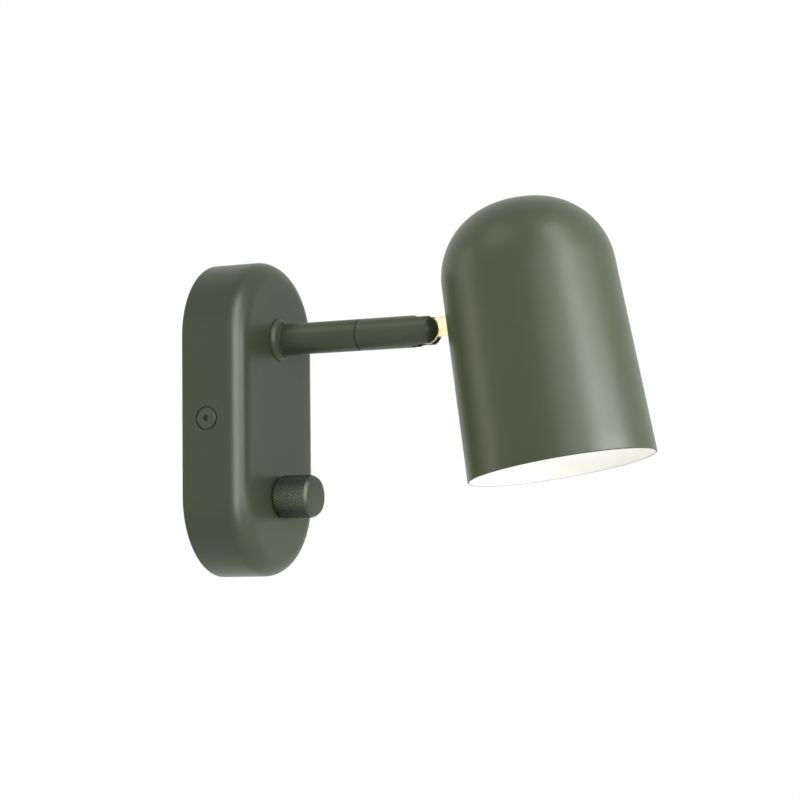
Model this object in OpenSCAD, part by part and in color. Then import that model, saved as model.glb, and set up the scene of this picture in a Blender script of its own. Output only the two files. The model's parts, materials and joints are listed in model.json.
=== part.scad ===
// Adjustable wall lamp: a stadium-shaped wall housing with a knurled dimmer knob, a short arm
// that swivels about its own axis, and a domed shade that tilts on a knuckle.
// Millimetres. The wall is the plane y = 0, the room lies towards -y and +z is up.
// The origin is the centre of the bracket's back, on the wall.

/* [Housing] */
// Height of the wall housing
housing_h = 160; // [154:1:190]
// Width of the wall housing
housing_w = 80; // [76:1:86]
// Depth of the housing, from the wall to its front face
housing_d = 34; // [32:0.5:44]
// Sheet thickness of the housing
housing_t = 1.5; // [1:0.1:2]
// Radius of the rounded front edge
edge_r = 10; // [5:0.5:14]

/* [Side screws] */
// Diameter of the low screw head
side_head_d = 10.6; // [8:0.2:11]
// Height of the low screw head
side_head_h = 1.3; // [0.8:0.1:2]
// Sheet left under the screw head, at the floor of its recess
side_floor = 0.5; // [0.3:0.1:0.7]
// Free ring between the recess and the screw head
side_ring = 0.6; // [0.3:0.1:1]
// Thread diameter of the side screws
side_thread_d = 4; // [3:0.5:5]
// Length of thread behind the head
side_thread_l = 8; // [7:0.5:10]
// Hexagon socket of the side screws, across its flats
side_socket = 3; // [2:0.5:4]
// Distance of the side screws from the wall
side_screw_d = 14; // [12:0.5:16]
// Height of the side screws above the middle of the housing
side_screw_z = -1.5; // [-5:0.5:5]

/* [Wall bracket] */
// Sheet thickness of the bracket
bracket_t = 2; // [1.5:0.1:3]
// Free space between the bracket's plate and the housing's inside
bracket_gap = 9; // [7:0.5:12]
// Width of each side ear
ear_w = 20; // [16:1:28]
// Height of the clinched nut on the inside of each ear
ear_nut_h = 3; // [2:0.5:4]
// Distance between the two wall-screw holes
wall_hole_pitch = 120; // [112:1:122]
// Diameter of the wall-screw holes
wall_hole_d = 5; // [4:0.5:6]
// Diameter of the bracket's cable hole
cable_hole_d = 16; // [13:1:18]
// Height of the cable hole above the middle
cable_hole_z = 26; // [23:1:30]
// Bore of the cable grommet
grommet_bore = 9; // [7:0.5:10]
// Width of the grommet's flange around the hole
grommet_lip = 2; // [1.5:0.5:3]
// Thickness of the grommet's flange
grommet_t = 1.5; // [1:0.1:2.5]

/* [Terminal block] */
// Number of poles
poles = 3; // [2:1:4]
// Pitch of the poles
pole_pitch = 9; // [8:0.5:10]
// Height of the block
block_h = 17; // [14:0.5:20]
// Depth of the block
block_d = 13; // [11:0.5:15]
// Height of the block's middle above the middle of the housing
block_z = -10; // [-12:0.5:-8]
// Diameter of the clamp screws
clamp_d = 3.4; // [3:0.1:4]
// Distance of the earth screw from the middle, sideways
earth_x = 21; // [19:0.5:22]
// Height of the earth screw above the middle
earth_z = 8; // [6:0.5:11]
// Head diameter of the earth screw
earth_head_d = 8; // [7:0.5:9]

/* [Dimmer] */
// Width and height of the dimmer case
dimmer_w = 28; // [24:1:30]
// Depth of the dimmer case
dimmer_d = 12; // [9:0.5:13]
// Diameter of the dimmer's threaded bushing
bushing_d = 8; // [7.5:0.5:9]
// Length of the bushing in front of the case
bushing_l = 7; // [6:0.5:8]
// Diameter of the dimmer shaft
shaft_d = 6; // [5:0.5:6.5]
// Length of the shaft in front of the case
shaft_l = 17; // [15:0.5:18]
// Depth of the flat along the shaft
shaft_flat = 1.5; // [0.5:0.1:2]
// Thickness of the lock washer
lock_t = 0.8; // [0.5:0.1:1.2]
// Thickness of the bushing nut
bushing_nut_h = 2.4; // [2:0.1:3]
// Bushing nut across its flats
bushing_nut_w = 11; // [10.5:0.5:12]

/* [Knob] */
// Diameter of the knob over the points of its knurl
knob_d = 22; // [20:0.5:26]
// Length of the knob
knob_l = 19.5; // [18.5:0.5:24]
// Gap between the knob and the housing
knob_gap = 0.5; // [0.3:0.1:1]
// Height of the chamfer at the front, along the axis
knob_chamfer = 1.4; // [0.8:0.1:2]
// Radial width of the front chamfer
knob_chamfer_w = 1; // [0.6:0.1:1.6]
// Plain edge at the back of the knurl
knob_edge = 0.6; // [0.4:0.1:1]
// Depth of the knurl
knurl_depth = 0.55; // [0.3:0.05:0.6]
// Diamonds around the knob
knurl_count = 42; // [36:1:54]
// Rows of half diamonds along the knob
knurl_rows = 12; // [8:1:24]
// Diameter of the recess that clears the bushing nut
recess_d = 15; // [14.5:0.5:16]
// Depth of the recess
recess_l = 5.5; // [5:0.5:7]
// Outside diameter of the brass insert
insert_d = 10; // [9:0.5:11]

/* [Arm] */
// Diameter of the arm
arm_d = 16; // [15:0.5:20]
// Wall thickness of the arm
arm_t = 1.5; // [1:0.1:2]
// Length of the fixed tube, from the housing to the seam
tube_l = 46.5; // [42:0.5:80]
// Width of the seam between tube and sleeve
seam = 0.3; // [0.2:0.05:0.6]
// Length of the sleeve, from the seam to the tilt axis
sleeve_l = 36.1; // [34:0.1:60]
// Chamfer of the tube ends at the seam
seam_chamfer = 0.25; // [0.1:0.05:0.5]
// Length of the plug in the tube's rear end
plug_l = 12; // [10:0.5:16]
// Diameter of the hollow stud through the housing
stud_d = 10; // [9:0.5:10.5]
// Bore of the hollow stud
stud_bore = 6.8; // [5:0.2:7]
// Length of stud inside the housing
stud_in = 8; // [7:0.5:8.5]
// Thickness of the nuts on the hollow studs
stud_nut_h = 4; // [3:0.5:4.5]
// Nuts on the hollow studs, across their flats
stud_nut_w = 14; // [13:0.5:16]
// Thickness of the washer under the arm nut
arm_washer_t = 1.5; // [1:0.1:2]
// Diameter of the washer under the arm nut
arm_washer_d = 20; // [17:0.5:24]
// Diameter of the ferrule on the housing
ferrule_d = 21.5; // [20:0.5:26]
// Height of the ferrule
ferrule_h = 4.2; // [3.4:0.1:6]
// Thickness of the ferrule's outer edge
ferrule_edge = 0.8; // [0.5:0.1:1.2]
// Wall of the ferrule where it meets the tube
ferrule_lip = 0.5; // [0.3:0.1:1]

/* [Swivel] */
// Diameter of the swivel journal
journal_d = 8.4; // [7.5:0.1:8.6]
// Bore of the swivel spindle
spindle_bore = 5; // [4:0.5:5.5]
// Length of the spindle held in the tube
spindle_hold = 14; // [10:0.5:18]
// Length of the swivel bush
bush_l = 9; // [7:0.5:10]
// Thickness of the friction washer
friction_t = 0.5; // [0.4:0.1:0.8]
// Thickness of the retaining ring
clip_t = 1; // [0.8:0.1:1.2]
// Depth of the groove for the retaining ring
clip_groove = 0.5; // [0.4:0.05:0.6]
// Height of the stop tab above the journal
stop_h = 0.9; // [0.7:0.1:1]
// Width of the stop tab and of the stop key
stop_w = 1.1; // [0.8:0.1:1.2]
// Length of the stop tab
stop_l = 2; // [1.5:0.1:2.5]

/* [Knuckle] */
// Radius of the fork's rounded end about the tilt axis
fork_end_r = 7.5; // [7:0.1:7.9]
// Height of the milled cheeks
cheek_h = 13.6; // [13.2:0.1:14]
// Radius of the ball that the sleeve's turned front end is part of
end_ball = 9; // [8.6:0.1:14]
// Width of the fork's slot
fork_slot = 5.2; // [4.8:0.1:5.6]
// Straight run of the cheeks behind the tilt axis
cheek_run = 3.6; // [2:0.1:5]
// Length of the bevel between sleeve and cheeks
cheek_bevel = 1.3; // [0.5:0.1:3]
// Diameter of the wire bore through the sleeve's solid end
wire_bore = 6; // [5:0.2:6.4]
// Diameter of the pivot screw
pivot_d = 4; // [3:0.5:4.5]
// Head diameter of the pivot screw
pivot_head_d = 7; // [6:0.5:7.5]
// Head height of the pivot screw
pivot_head_h = 2.4; // [1.8:0.1:2.8]
// Hexagon socket of the pivot screw, across its flats
pivot_socket = 2.5; // [2:0.5:3]
// Depth of the pivot screw's head below the arm's surface
pivot_sink = 1; // [0.6:0.1:1.4]
// Thickness of each friction disc
disc_t = 0.35; // [0.25:0.05:0.45]
// Diameter of the brass neck
neck_d = 10.2; // [9:0.1:10.4]
// Free space between the fork's end and the neck
neck_gap = 1.2; // [0.3:0.1:2]
// Length of the brass neck
neck_l = 5.6; // [3:0.1:9]
// Diameter of the collar against the shade
collar_d = 11.4; // [11.2:0.1:16]
// Thickness of the collar
collar_t = 0.9; // [0.8:0.1:3]
// Width of the tongue's root, up and down
root_w = 9; // [8.6:0.2:9.4]
// Height of the lead's channel above the pivot screw's axis
channel_z = 3.7; // [3.6:0.05:4]

/* [Shade] */
// Diameter of the open rim
shade_d = 92; // [84:1:120]
// Height of the shade
shade_h = 133.2; // [128:0.1:160]
// Sheet thickness of the shade
shade_t = 1; // [0.8:0.1:1.5]
// Slope of the side against the shade's axis, in degrees
shade_taper = 2; // [0.5:0.01:4]
// Radius of the rounded shoulder
shoulder_r = 37.5; // [22:0.5:38]
// Radius of the crown
crown_r = 58.3; // [48:0.1:70]
// Height of the knuckle above the rim
knuckle_h = 81.1; // [74:0.1:84]
// Tilt of the shade in the photographed position, in degrees
shade_tilt = 9.6; // [0:0.1:30]
// Diameter of the saddle washer inside the shade
saddle_d = 18; // [16:0.5:20]
// Thickness of the saddle washer at its middle
saddle_t = 2.8; // [2.4:0.1:4]

/* [Lampholder] */
// Sheet thickness of the holder bracket
holder_bracket_t = 1.5; // [1:0.1:2]
// Width of the holder bracket
holder_bracket_w = 16; // [15:0.5:18]
// Height of the holder bracket above the knuckle
holder_bracket_z = 22; // [20:0.5:26]
// Inside radius of the bend in the holder bracket
holder_bend_r = 3; // [2:0.5:5]
// Diameter of the lampholder
holder_d = 28; // [26:1:32]
// Length of the lampholder
holder_l = 38; // [35:0.5:42]
// Height of the lampholder's threaded neck
holder_neck_l = 4; // [3:0.5:6]
// Diameter of the lampholder's threaded neck
holder_neck_d = 16; // [14:0.5:18]
// Depth of the lampholder's open skirt
holder_skirt = 24; // [22:0.5:26]
// Wall of the lampholder's skirt
holder_wall = 2; // [1.5:0.1:2.5]
// Length of the hollow nipple
nipple_l = 16; // [14:0.5:18]

/* [Bulb] */
// Diameter of the bulb's screw cap
cap_d = 13.8; // [13:0.1:14.2]
// Length of the screw cap
cap_l = 18; // [16:0.5:20]
// Thickness of the holder's screw shell
shell_t = 0.4; // [0.3:0.05:0.6]
// Diameter of the globe
globe_d = 45; // [40:1:48]
// Glass thickness
glass_t = 1; // [0.6:0.1:1.5]
// Length of the bulb below its screw cap
bulb_l = 56; // [52:0.5:58]
// Diameter of the globe's opening at the collar
globe_mouth_d = 34; // [30:0.5:36]

/* [Leads] */
// Diameter of the thin round leads
lead_d = 2.2; // [1.6:0.1:2.3]
// Clearance of the lead's channel through the tongue
channel_gap = 0.3; // [0.2:0.05:0.4]

/* [Fits] */
// Radial clearance of running fits
running_gap = 0.05; // [0.02:0.01:0.1]
// Radial clearance of fixed fits
fixed_gap = 0.03; // [0.02:0.01:0.1]
// Radial clearance of screw and stud holes
hole_gap = 0.2; // [0.1:0.05:0.4]
// Axial play of turning parts
play = 0.1; // [0.05:0.01:0.2]

/* [Hidden] */
$fn = 96;
cut = 1;
lead_sides = 8;
lead_passes = 2;

// Wall and housing
end_z = (housing_h - housing_w) / 2;
inner_w = housing_w - 2 * housing_t;
inner_h = housing_h - 2 * housing_t;
inner_d = housing_d - housing_t;
plate_w = inner_w - 2 * bracket_gap;
plate_h = inner_h - 2 * bracket_gap;
ear_play = 0.3;
ear_x = inner_w / 2 - ear_play;
side_seat = housing_w / 2 - housing_t + side_floor;
ear_reach = side_screw_d + ear_w / 2 - 3;

// Terminal block
block_w = poles * pole_pitch + 3;
block_floor = 4;
barrel_d = pole_pitch - 1.5;
clamp_spread = block_h / 2 - barrel_d / 2 - 0.5;
clamp_h = 4;

// Dimmer and knob, as distances from the wall
dimmer_back = inner_d - dimmer_d;
knob_back = housing_d + knob_gap;
shaft_end = inner_d + shaft_l;
shaft_start = dimmer_back + 4;
insert_end = knob_back + knob_l - 3;
recess_floor = knob_back + recess_l;

// Arm, as distances from the wall
arm_r = arm_d / 2;
bore_r = arm_r - arm_t;
seam_y = housing_d + tube_l;
tube_end = seam_y - seam / 2;
sleeve_start = seam_y + seam / 2;
pivot_y = seam_y + sleeve_l;
bush_start = tube_end + friction_t + running_gap;
bush_end = bush_start + bush_l;
clip_start = bush_end + play;
journal_end = clip_start + clip_t + 1.4;
bore_end = journal_end + 2.4;
journal_r = journal_d / 2;
clip_r = bore_r - 0.5;
tongue_r = cheek_h / 2 - 0.2;
slot_back = pivot_y - tongue_r - 0.6;
tongue_t = fork_slot - 2 * (disc_t + running_gap);
lead_r = lead_d / 2;

// Head, measured from the tilt axis; the shade's axis is upright here
neck_start = fork_end_r + neck_gap;
collar_start = neck_start + neck_l;
shade_reach = collar_start + collar_t;
rim_r = shade_d / 2;
wall_r = rim_r - knuckle_h * tan(shade_taper);
axis_y = shade_reach + wall_r;
bracket_y = shade_reach + shade_t + saddle_t;
nut_y = bracket_y + holder_bracket_t;
tail_end = nut_y + stud_nut_h + 2;
holder_top = holder_bracket_z;
holder_mouth = holder_top - holder_l;
shell_top = holder_mouth + holder_skirt;
contact_h = 1;
cap_top = shell_top - contact_h;
cap_bottom = cap_top - cap_l;
bulb_tip = cap_bottom - bulb_l;
globe_z = bulb_tip + globe_d / 2;
mouth_z = globe_z + sqrt(pow(globe_d / 2, 2) - pow(globe_mouth_d / 2, 2));
wire_hole_y = nut_y + stud_nut_h + 7;
bend_start = 3.4;
bend_run = 6;
tail_bore = stud_d - 4;

OLIVE = "#4f5643";
BRASS = "#e8d3a2";
STEEL = "#b4b8ba";
WHITE = "#f4f3ee";
BLACK = "#26282a";

// Stands a shape off the wall: its +z axis points into the room and its +y axis up
module off_wall(distance = 0, z = 0) {
    translate([0, -distance, z]) rotate([90, 0, 0]) children();
}

// Places the tilting head, given about its own tilt axis
module head_pose() {
    translate([0, -pivot_y, end_z]) rotate([-shade_tilt, 0, 0]) children();
}

// Ring with its axis along z
module ring(r_out, r_in, h) {
    difference() {
        cylinder(r = r_out, h = h);
        translate([0, 0, -cut]) cylinder(r = r_in, h = h + 2 * cut);
    }
}

// Hexagon prism, by its width across the flats
module hexagon(flats, h) {
    cylinder(d = flats / cos(30), h = h, $fn = 6);
}

// Hexagon nut with its axis along z
module hex_nut(flats, r_hole, h) {
    difference() {
        intersection() {
            hexagon(flats, h);
            rotate_extrude() nut_profile(flats / 2, h);
        }
        translate([0, 0, -cut]) cylinder(r = r_hole, h = h + 2 * cut);
    }
}

// Half section of a nut blank, with both corners bevelled
module nut_profile(half, h) {
    corner = half / cos(30);
    bevel = (corner - half) / 2;
    polygon([[0, 0], [half, 0], [corner, bevel], [corner, h - bevel], [half, h], [0, h]]);
}

// Half section of the housing: flat face, round edge and straight side
module edge_profile(half_w, depth, r) {
    square([half_w - r, depth]);
    square([half_w, depth - r]);
    intersection() {
        translate([half_w - r, depth - r]) circle(r);
        translate([half_w - r, depth - r]) square([r, r]);
    }
}

// Stadium block with a rounded front edge, its back on the wall
module stadium_block(w, h, depth, r) {
    run = (h - w) / 2;
    off_wall() {
        translate([0, run, 0]) rotate_extrude(angle = 180) edge_profile(w / 2, depth, r);
        translate([0, -run, 0]) rotate([0, 0, 180]) rotate_extrude(angle = 180)
            edge_profile(w / 2, depth, r);
        rotate([90, 0, 0]) linear_extrude(2 * run, center = true) {
            edge_profile(w / 2, depth, r);
            mirror([1, 0]) edge_profile(w / 2, depth, r);
        }
    }
}

// Round rod along x, from x0 to x1, at a distance from the wall and a height
module cross_rod(r, x0, x1, distance, z) {
    translate([x0, -distance, z]) rotate([0, 90, 0]) cylinder(r = r, h = x1 - x0);
}

// Deep-drawn wall housing
module housing() {
    color(OLIVE) difference() {
        stadium_block(housing_w, housing_h, housing_d, edge_r);
        translate([0, cut, 0])
            stadium_block(inner_w, inner_h, inner_d + cut, edge_r - housing_t);
        off_wall(inner_d - cut, end_z)
            cylinder(r = stud_d / 2 + hole_gap, h = housing_t + 2 * cut);
        off_wall(inner_d - cut, -end_z)
            cylinder(r = bushing_d / 2 + hole_gap, h = housing_t + 2 * cut);
        cross_rod(side_thread_d / 2 + hole_gap, -housing_w, housing_w, side_screw_d, side_screw_z);
        for (s = [0, 1])
            mirror([s, 0, 0])
                cross_rod(side_head_d / 2 + side_ring, side_seat, housing_w, side_screw_d, side_screw_z);
    }
}

// One low-head side screw on the +x side, in its recess
module side_screw() {
    translate([side_seat, -side_screw_d, side_screw_z]) rotate([0, 90, 0])
        difference() {
            union() {
                rotate_extrude() polygon([
                    [0, 0], [side_head_d / 2, 0], [side_head_d / 2, side_head_h * 0.6],
                    [side_head_d / 2 - side_head_h * 0.4, side_head_h], [0, side_head_h]
                ]);
                translate([0, 0, -side_thread_l])
                    cylinder(d = side_thread_d, h = side_thread_l + side_head_h / 2);
            }
            translate([0, 0, -side_head_h]) hexagon(side_socket, 3 * side_head_h);
        }
}

// The two screws that hold the housing on the bracket's ears
module side_screws() {
    color(OLIVE) {
        side_screw();
        mirror([1, 0, 0]) side_screw();
    }
}

// Flat stadium outline
module stadium(w, h) {
    run = (h - w) / 2;
    square([w, 2 * run], center = true);
    for (s = [-1, 1]) translate([0, s * run]) circle(d = w);
}

// One bent side ear on the +x side, with its clinched nut
module ear() {
    translate([0, 0, side_screw_z - ear_w / 2]) {
        translate([plate_w / 2 - 1, -bracket_t, 0])
            cube([ear_x - plate_w / 2 + 1, bracket_t, ear_w]);
        translate([ear_x - bracket_t, -ear_reach, 0]) cube([bracket_t, ear_reach, ear_w]);
    }
    cross_rod(side_thread_d, ear_x - bracket_t - ear_nut_h, ear_x - bracket_t / 2,
        side_screw_d, side_screw_z);
}

// Pressed steel bracket, screwed to the wall
module wall_bracket() {
    color(STEEL) difference() {
        union() {
            off_wall() linear_extrude(bracket_t) stadium(plate_w, plate_h);
            ear();
            mirror([1, 0, 0]) ear();
        }
        for (s = [-1, 1])
            off_wall(-cut, s * wall_hole_pitch / 2)
                cylinder(d = wall_hole_d, h = bracket_t + 2 * cut);
        off_wall(-cut, cable_hole_z) cylinder(d = cable_hole_d, h = bracket_t + 2 * cut);
        translate([earth_x, cut, earth_z]) rotate([90, 0, 0])
            cylinder(r = side_thread_d / 2 + fixed_gap, h = bracket_t + 2 * cut);
        cross_rod(side_thread_d / 2 + fixed_gap, -housing_w, housing_w, side_screw_d, side_screw_z);
    }
}

// Rubber grommet in the bracket's cable hole, flush at the wall
module cable_grommet() {
    neck_r = cable_hole_d / 2 - fixed_gap;
    color(BLACK) off_wall(0, cable_hole_z) rotate_extrude() difference() {
        union() {
            square([neck_r, bracket_t + grommet_t]);
            translate([0, bracket_t]) square([cable_hole_d / 2 + grommet_lip, grommet_t]);
        }
        translate([0, -cut]) square([grommet_bore / 2, bracket_t + grommet_t + 2 * cut]);
    }
}

// Places children at each clamp screw of the terminal block, looking into the room
module at_clamps() {
    for (i = [0 : poles - 1], s = [-1, 1])
        translate([(i - (poles - 1) / 2) * pole_pitch, -(bracket_t + block_d), block_z + s * clamp_spread])
            rotate([90, 0, 0]) children();
}

// Terminal block: a base with one barrel for each pole
module terminal_block() {
    barrel_l = block_d - block_floor;
    color(WHITE) difference() {
        union() {
            translate([-block_w / 2, -(bracket_t + block_floor), block_z - block_h / 2])
                cube([block_w, block_floor, block_h]);
            for (i = [0 : poles - 1])
                translate([(i - (poles - 1) / 2) * pole_pitch - barrel_d / 2,
                    -(bracket_t + block_d), block_z - block_h / 2])
                    cube([barrel_d, barrel_l + 1, block_h]);
        }
        at_clamps() translate([0, 0, -clamp_h]) cylinder(r = clamp_d / 2 + fixed_gap, h = clamp_h + cut);
        for (i = [0 : poles - 1])
            translate([(i - (poles - 1) / 2) * pole_pitch, -(bracket_t + block_floor + 1.9), block_z])
                cylinder(r = 1.4, h = block_h + 2 * cut, center = true);
    }
}

// Slotted clamp screws of the terminal block
module clamp_screws() {
    color(BRASS) at_clamps() difference() {
        translate([0, 0, -clamp_h]) cylinder(d = clamp_d, h = clamp_h - 0.6);
        translate([-clamp_d, -0.35, -1.6]) cube([2 * clamp_d, 0.7, cut + 1]);
    }
}

// Earth screw with its square washer, in the bracket's plate
module earth_screw() {
    head_h = 2.2;
    color(BRASS) translate([earth_x, -bracket_t, earth_z]) rotate([90, 0, 0]) difference() {
        union() {
            translate([-4.5, -4.5, 0]) cube([9, 9, 1]);
            translate([0, 0, 1]) cylinder(d = earth_head_d, h = head_h);
            translate([0, 0, -bracket_t]) cylinder(d = side_thread_d, h = bracket_t + 1.5);
        }
        translate([-earth_head_d, -0.5, 1 + head_h - 1]) cube([2 * earth_head_d, 1, 1 + cut]);
    }
}

// Dimmer case with its threaded bushing through the housing's front
module dimmer_case() {
    side = dimmer_w;
    color(BLACK) difference() {
        union() {
            off_wall(dimmer_back, -end_z) translate([-side / 2, -side / 2, 0]) linear_extrude(dimmer_d)
                difference() {
                    square(side);
                    for (x = [0, side], y = [0, side])
                        translate([x, y]) rotate(45) square(4, center = true);
                }
            off_wall(inner_d - 1, -end_z) cylinder(d = bushing_d, h = bushing_l + 1);
        }
        off_wall(shaft_start - play, -end_z)
            cylinder(r = shaft_d / 2 + running_gap, h = dimmer_d + bushing_l);
    }
}

// Lock washer under the bushing nut
module dimmer_washer() {
    color(STEEL) off_wall(housing_d, -end_z)
        ring(bushing_nut_w / 2 + 0.5, bushing_d / 2 + fixed_gap, lock_t);
}

// Thin hexagon nut on the bushing
module dimmer_nut() {
    color(STEEL) off_wall(housing_d + lock_t, -end_z)
        hex_nut(bushing_nut_w, bushing_d / 2 + fixed_gap, bushing_nut_h);
}

// Dimmer shaft, flattened where the knob grips it
module dimmer_shaft() {
    grip = inner_d + bushing_l + 0.5;
    color(STEEL) off_wall(shaft_start, -end_z) difference() {
        cylinder(d = shaft_d, h = shaft_end - shaft_start);
        translate([-shaft_d, shaft_d / 2 - shaft_flat, grip - shaft_start])
            cube([2 * shaft_d, shaft_d, shaft_l]);
    }
}

// Radius of the knurl at a column and a row: points alternate with valleys
function knurl_r(i, j) =
    (j == 0 || j == knurl_rows || (i + j) % 2 == 1) ? knob_d / 2 - knurl_depth : knob_d / 2;

// One ring of the knob's skin
function knob_ring(z, radii) =
    [for (i = [0 : 2 * knurl_count - 1]) let (a = 180 * i / knurl_count)
        [radii[i] * cos(a), radii[i] * sin(a), z]];

// Knob blank with a diamond knurl of four-sided points, its back on z = 0
module knurled_blank() {
    columns = 2 * knurl_count;
    first = knob_edge;
    last = knob_l - knob_chamfer;
    valley = knob_d / 2 - knurl_depth;
    rings = concat(
        [knob_ring(0, [for (i = [1 : columns]) valley - knob_edge / 2])],
        [for (j = [0 : knurl_rows])
            knob_ring(first + (last - first) * j / knurl_rows,
                [for (i = [0 : columns - 1]) knurl_r(i, j)])],
        [knob_ring(knob_l, [for (i = [1 : columns]) valley - knob_chamfer_w])]
    );
    top = len(rings) - 1;
    skin = [for (j = [0 : top - 1], i = [0 : columns - 1])
        let (a = j * columns + i, b = j * columns + (i + 1) % columns, c = b + columns, d = a + columns)
        each ((i + j) % 2 == 1 ? [[a, d, b], [b, d, c]] : [[a, d, c], [a, c, b]])];
    polyhedron(
        points = [for (r = rings) each r],
        faces = concat(
            [[for (i = [0 : columns - 1]) i]],
            skin,
            [[for (i = [columns - 1 : -1 : 0]) top * columns + i]]
        )
    );
}

// Knurled dimmer knob, hollow for the insert and the bushing nut
module knob() {
    color(OLIVE) off_wall(knob_back, -end_z) difference() {
        knurled_blank();
        translate([0, 0, -cut]) cylinder(d = recess_d, h = recess_l + cut);
        cylinder(r = insert_d / 2 + fixed_gap, h = insert_end - knob_back + fixed_gap);
    }
}

// Brass insert that grips the flattened shaft
module knob_insert() {
    flat = shaft_d / 2 - shaft_flat + fixed_gap;
    color(BRASS) off_wall(recess_floor + fixed_gap, -end_z) difference() {
        cylinder(d = insert_d, h = insert_end - recess_floor - fixed_gap);
        translate([0, 0, -cut]) intersection() {
            cylinder(r = shaft_d / 2 + fixed_gap, h = shaft_end - recess_floor + cut);
            translate([-shaft_d, -shaft_d, 0]) cube([2 * shaft_d, shaft_d + flat, 4 * shaft_l]);
        }
    }
}

// Bell-shaped ferrule around the arm's root
module arm_ferrule() {
    sweep_w = ferrule_d / 2 - arm_r - fixed_gap - ferrule_lip;
    sweep_h = ferrule_h - ferrule_edge;
    sweep_r = (sweep_w * sweep_w + sweep_h * sweep_h) / (2 * sweep_w);
    color(OLIVE) off_wall(housing_d, end_z) rotate_extrude() difference() {
        translate([arm_r + fixed_gap, 0]) square([sweep_w + ferrule_lip, ferrule_h]);
        intersection() {
            translate([ferrule_d / 2 - sweep_w + sweep_r, ferrule_h]) circle(sweep_r);
            translate([arm_r, ferrule_edge]) square([2 * sweep_w + 2, 2 * sweep_h]);
        }
    }
}

// Tube with its axis along z and a small chamfer at one end
module chamfered_tube(r_out, r_in, h, chamfer) {
    rotate_extrude() polygon([
        [r_in, 0], [r_out, 0], [r_out, h - chamfer], [r_out - chamfer, h], [r_in, h]
    ]);
}

// Fixed rear half of the arm
module arm_tube() {
    color(OLIVE) off_wall(housing_d, end_z)
        chamfered_tube(arm_r, bore_r, tube_end - housing_d, seam_chamfer);
}

// Threaded plug in the tube's rear end
module arm_plug() {
    color(STEEL) off_wall(housing_d, end_z)
        ring(bore_r - fixed_gap, stud_d / 2 + fixed_gap, plug_l);
}

// Hollow stud from the plug through the housing
module arm_stud() {
    color(STEEL) off_wall(inner_d - stud_in, end_z)
        ring(stud_d / 2, stud_bore / 2, stud_in + housing_t + plug_l - 2);
}

// Washer under the arm nut
module arm_washer() {
    color(STEEL) off_wall(inner_d - arm_washer_t, end_z)
        ring(arm_washer_d / 2, stud_d / 2 + fixed_gap, arm_washer_t);
}

// Nut that clamps the arm to the housing
module arm_nut() {
    color(STEEL) off_wall(inner_d - arm_washer_t - stud_nut_h, end_z)
        hex_nut(stud_nut_w, stud_d / 2 + fixed_gap, stud_nut_h);
}

// Spindle fixed in the tube's front end, with its journal, ring groove and stop tab
module swivel_spindle() {
    hold_start = tube_end - spindle_hold;
    color(STEEL) off_wall(hold_start, end_z) difference() {
        union() {
            cylinder(r = bore_r - fixed_gap, h = spindle_hold);
            cylinder(r = journal_r, h = journal_end - hold_start);
            translate([-stop_w / 2, 0, bush_start - hold_start])
                cube([stop_w, journal_r + stop_h, stop_l]);
        }
        translate([0, 0, -cut]) cylinder(d = spindle_bore, h = journal_end - hold_start + 2 * cut);
        translate([0, 0, clip_start - hold_start]) ring(journal_r + cut, journal_r - clip_groove, clip_t);
    }
}

// Fibre washer between the tube's end and the bush
module friction_washer() {
    color(BLACK) off_wall(tube_end, end_z)
        ring(bore_r - 2 * running_gap, journal_r + running_gap, friction_t);
}

// Retaining ring in the journal's groove
module retaining_ring() {
    color(STEEL) off_wall(clip_start, end_z) difference() {
        ring(clip_r, journal_r - clip_groove + fixed_gap, clip_t);
        translate([-1, 0, -cut]) cube([2, bore_r, clip_t + 2 * cut]);
    }
}

// Bush in the sleeve, with a pocket for the stop tab and a key at its far side
module swivel_bush() {
    pocket_r = journal_r + stop_h + play;
    color(BRASS) off_wall(bush_start, end_z) {
        difference() {
            ring(bore_r - fixed_gap, journal_r + running_gap, bush_l);
            translate([0, 0, -cut]) cylinder(r = pocket_r, h = stop_l + play + cut);
        }
        translate([-stop_w / 2, -(bore_r - 3 * running_gap), 0])
            cube([stop_w, bore_r - 3 * running_gap - journal_r - 2 * running_gap, stop_l + 2 * play]);
    }
}

// Side outline of the sleeve and its fork: distance from the seam along x, height along y
module sleeve_side() {
    run = pivot_y - sleeve_start;
    bevel_start = run - cheek_run - cheek_bevel;
    flat = cheek_h / 2;
    polygon([
        [-cut, -arm_d], [bevel_start, -arm_d], [bevel_start, -arm_r], [run - cheek_run, -flat],
        [run, -flat], [run, flat], [run - cheek_run, flat], [bevel_start, arm_r],
        [bevel_start, arm_d], [-cut, arm_d]
    ]);
    intersection() {
        translate([run, 0]) circle(fork_end_r);
        translate([run, -flat]) square([arm_d, cheek_h]);
    }
}

// Turned blank of the sleeve, its back on z = 0: chamfered at the seam, its front end part of a ball
// that reaches the full length at the sides of the fork's slot
module sleeve_blank(length) {
    ball_z = length - sqrt(pow(end_ball, 2) - pow(fork_slot / 2, 2));
    intersection() {
        union() {
            cylinder(r1 = arm_r - seam_chamfer, r2 = arm_r, h = seam_chamfer);
            translate([0, 0, seam_chamfer]) cylinder(r = arm_r, h = length);
        }
        union() {
            translate([0, 0, -cut]) cylinder(r = arm_d, h = ball_z + cut);
            translate([0, 0, ball_z]) sphere(r = end_ball);
        }
    }
}

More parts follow.
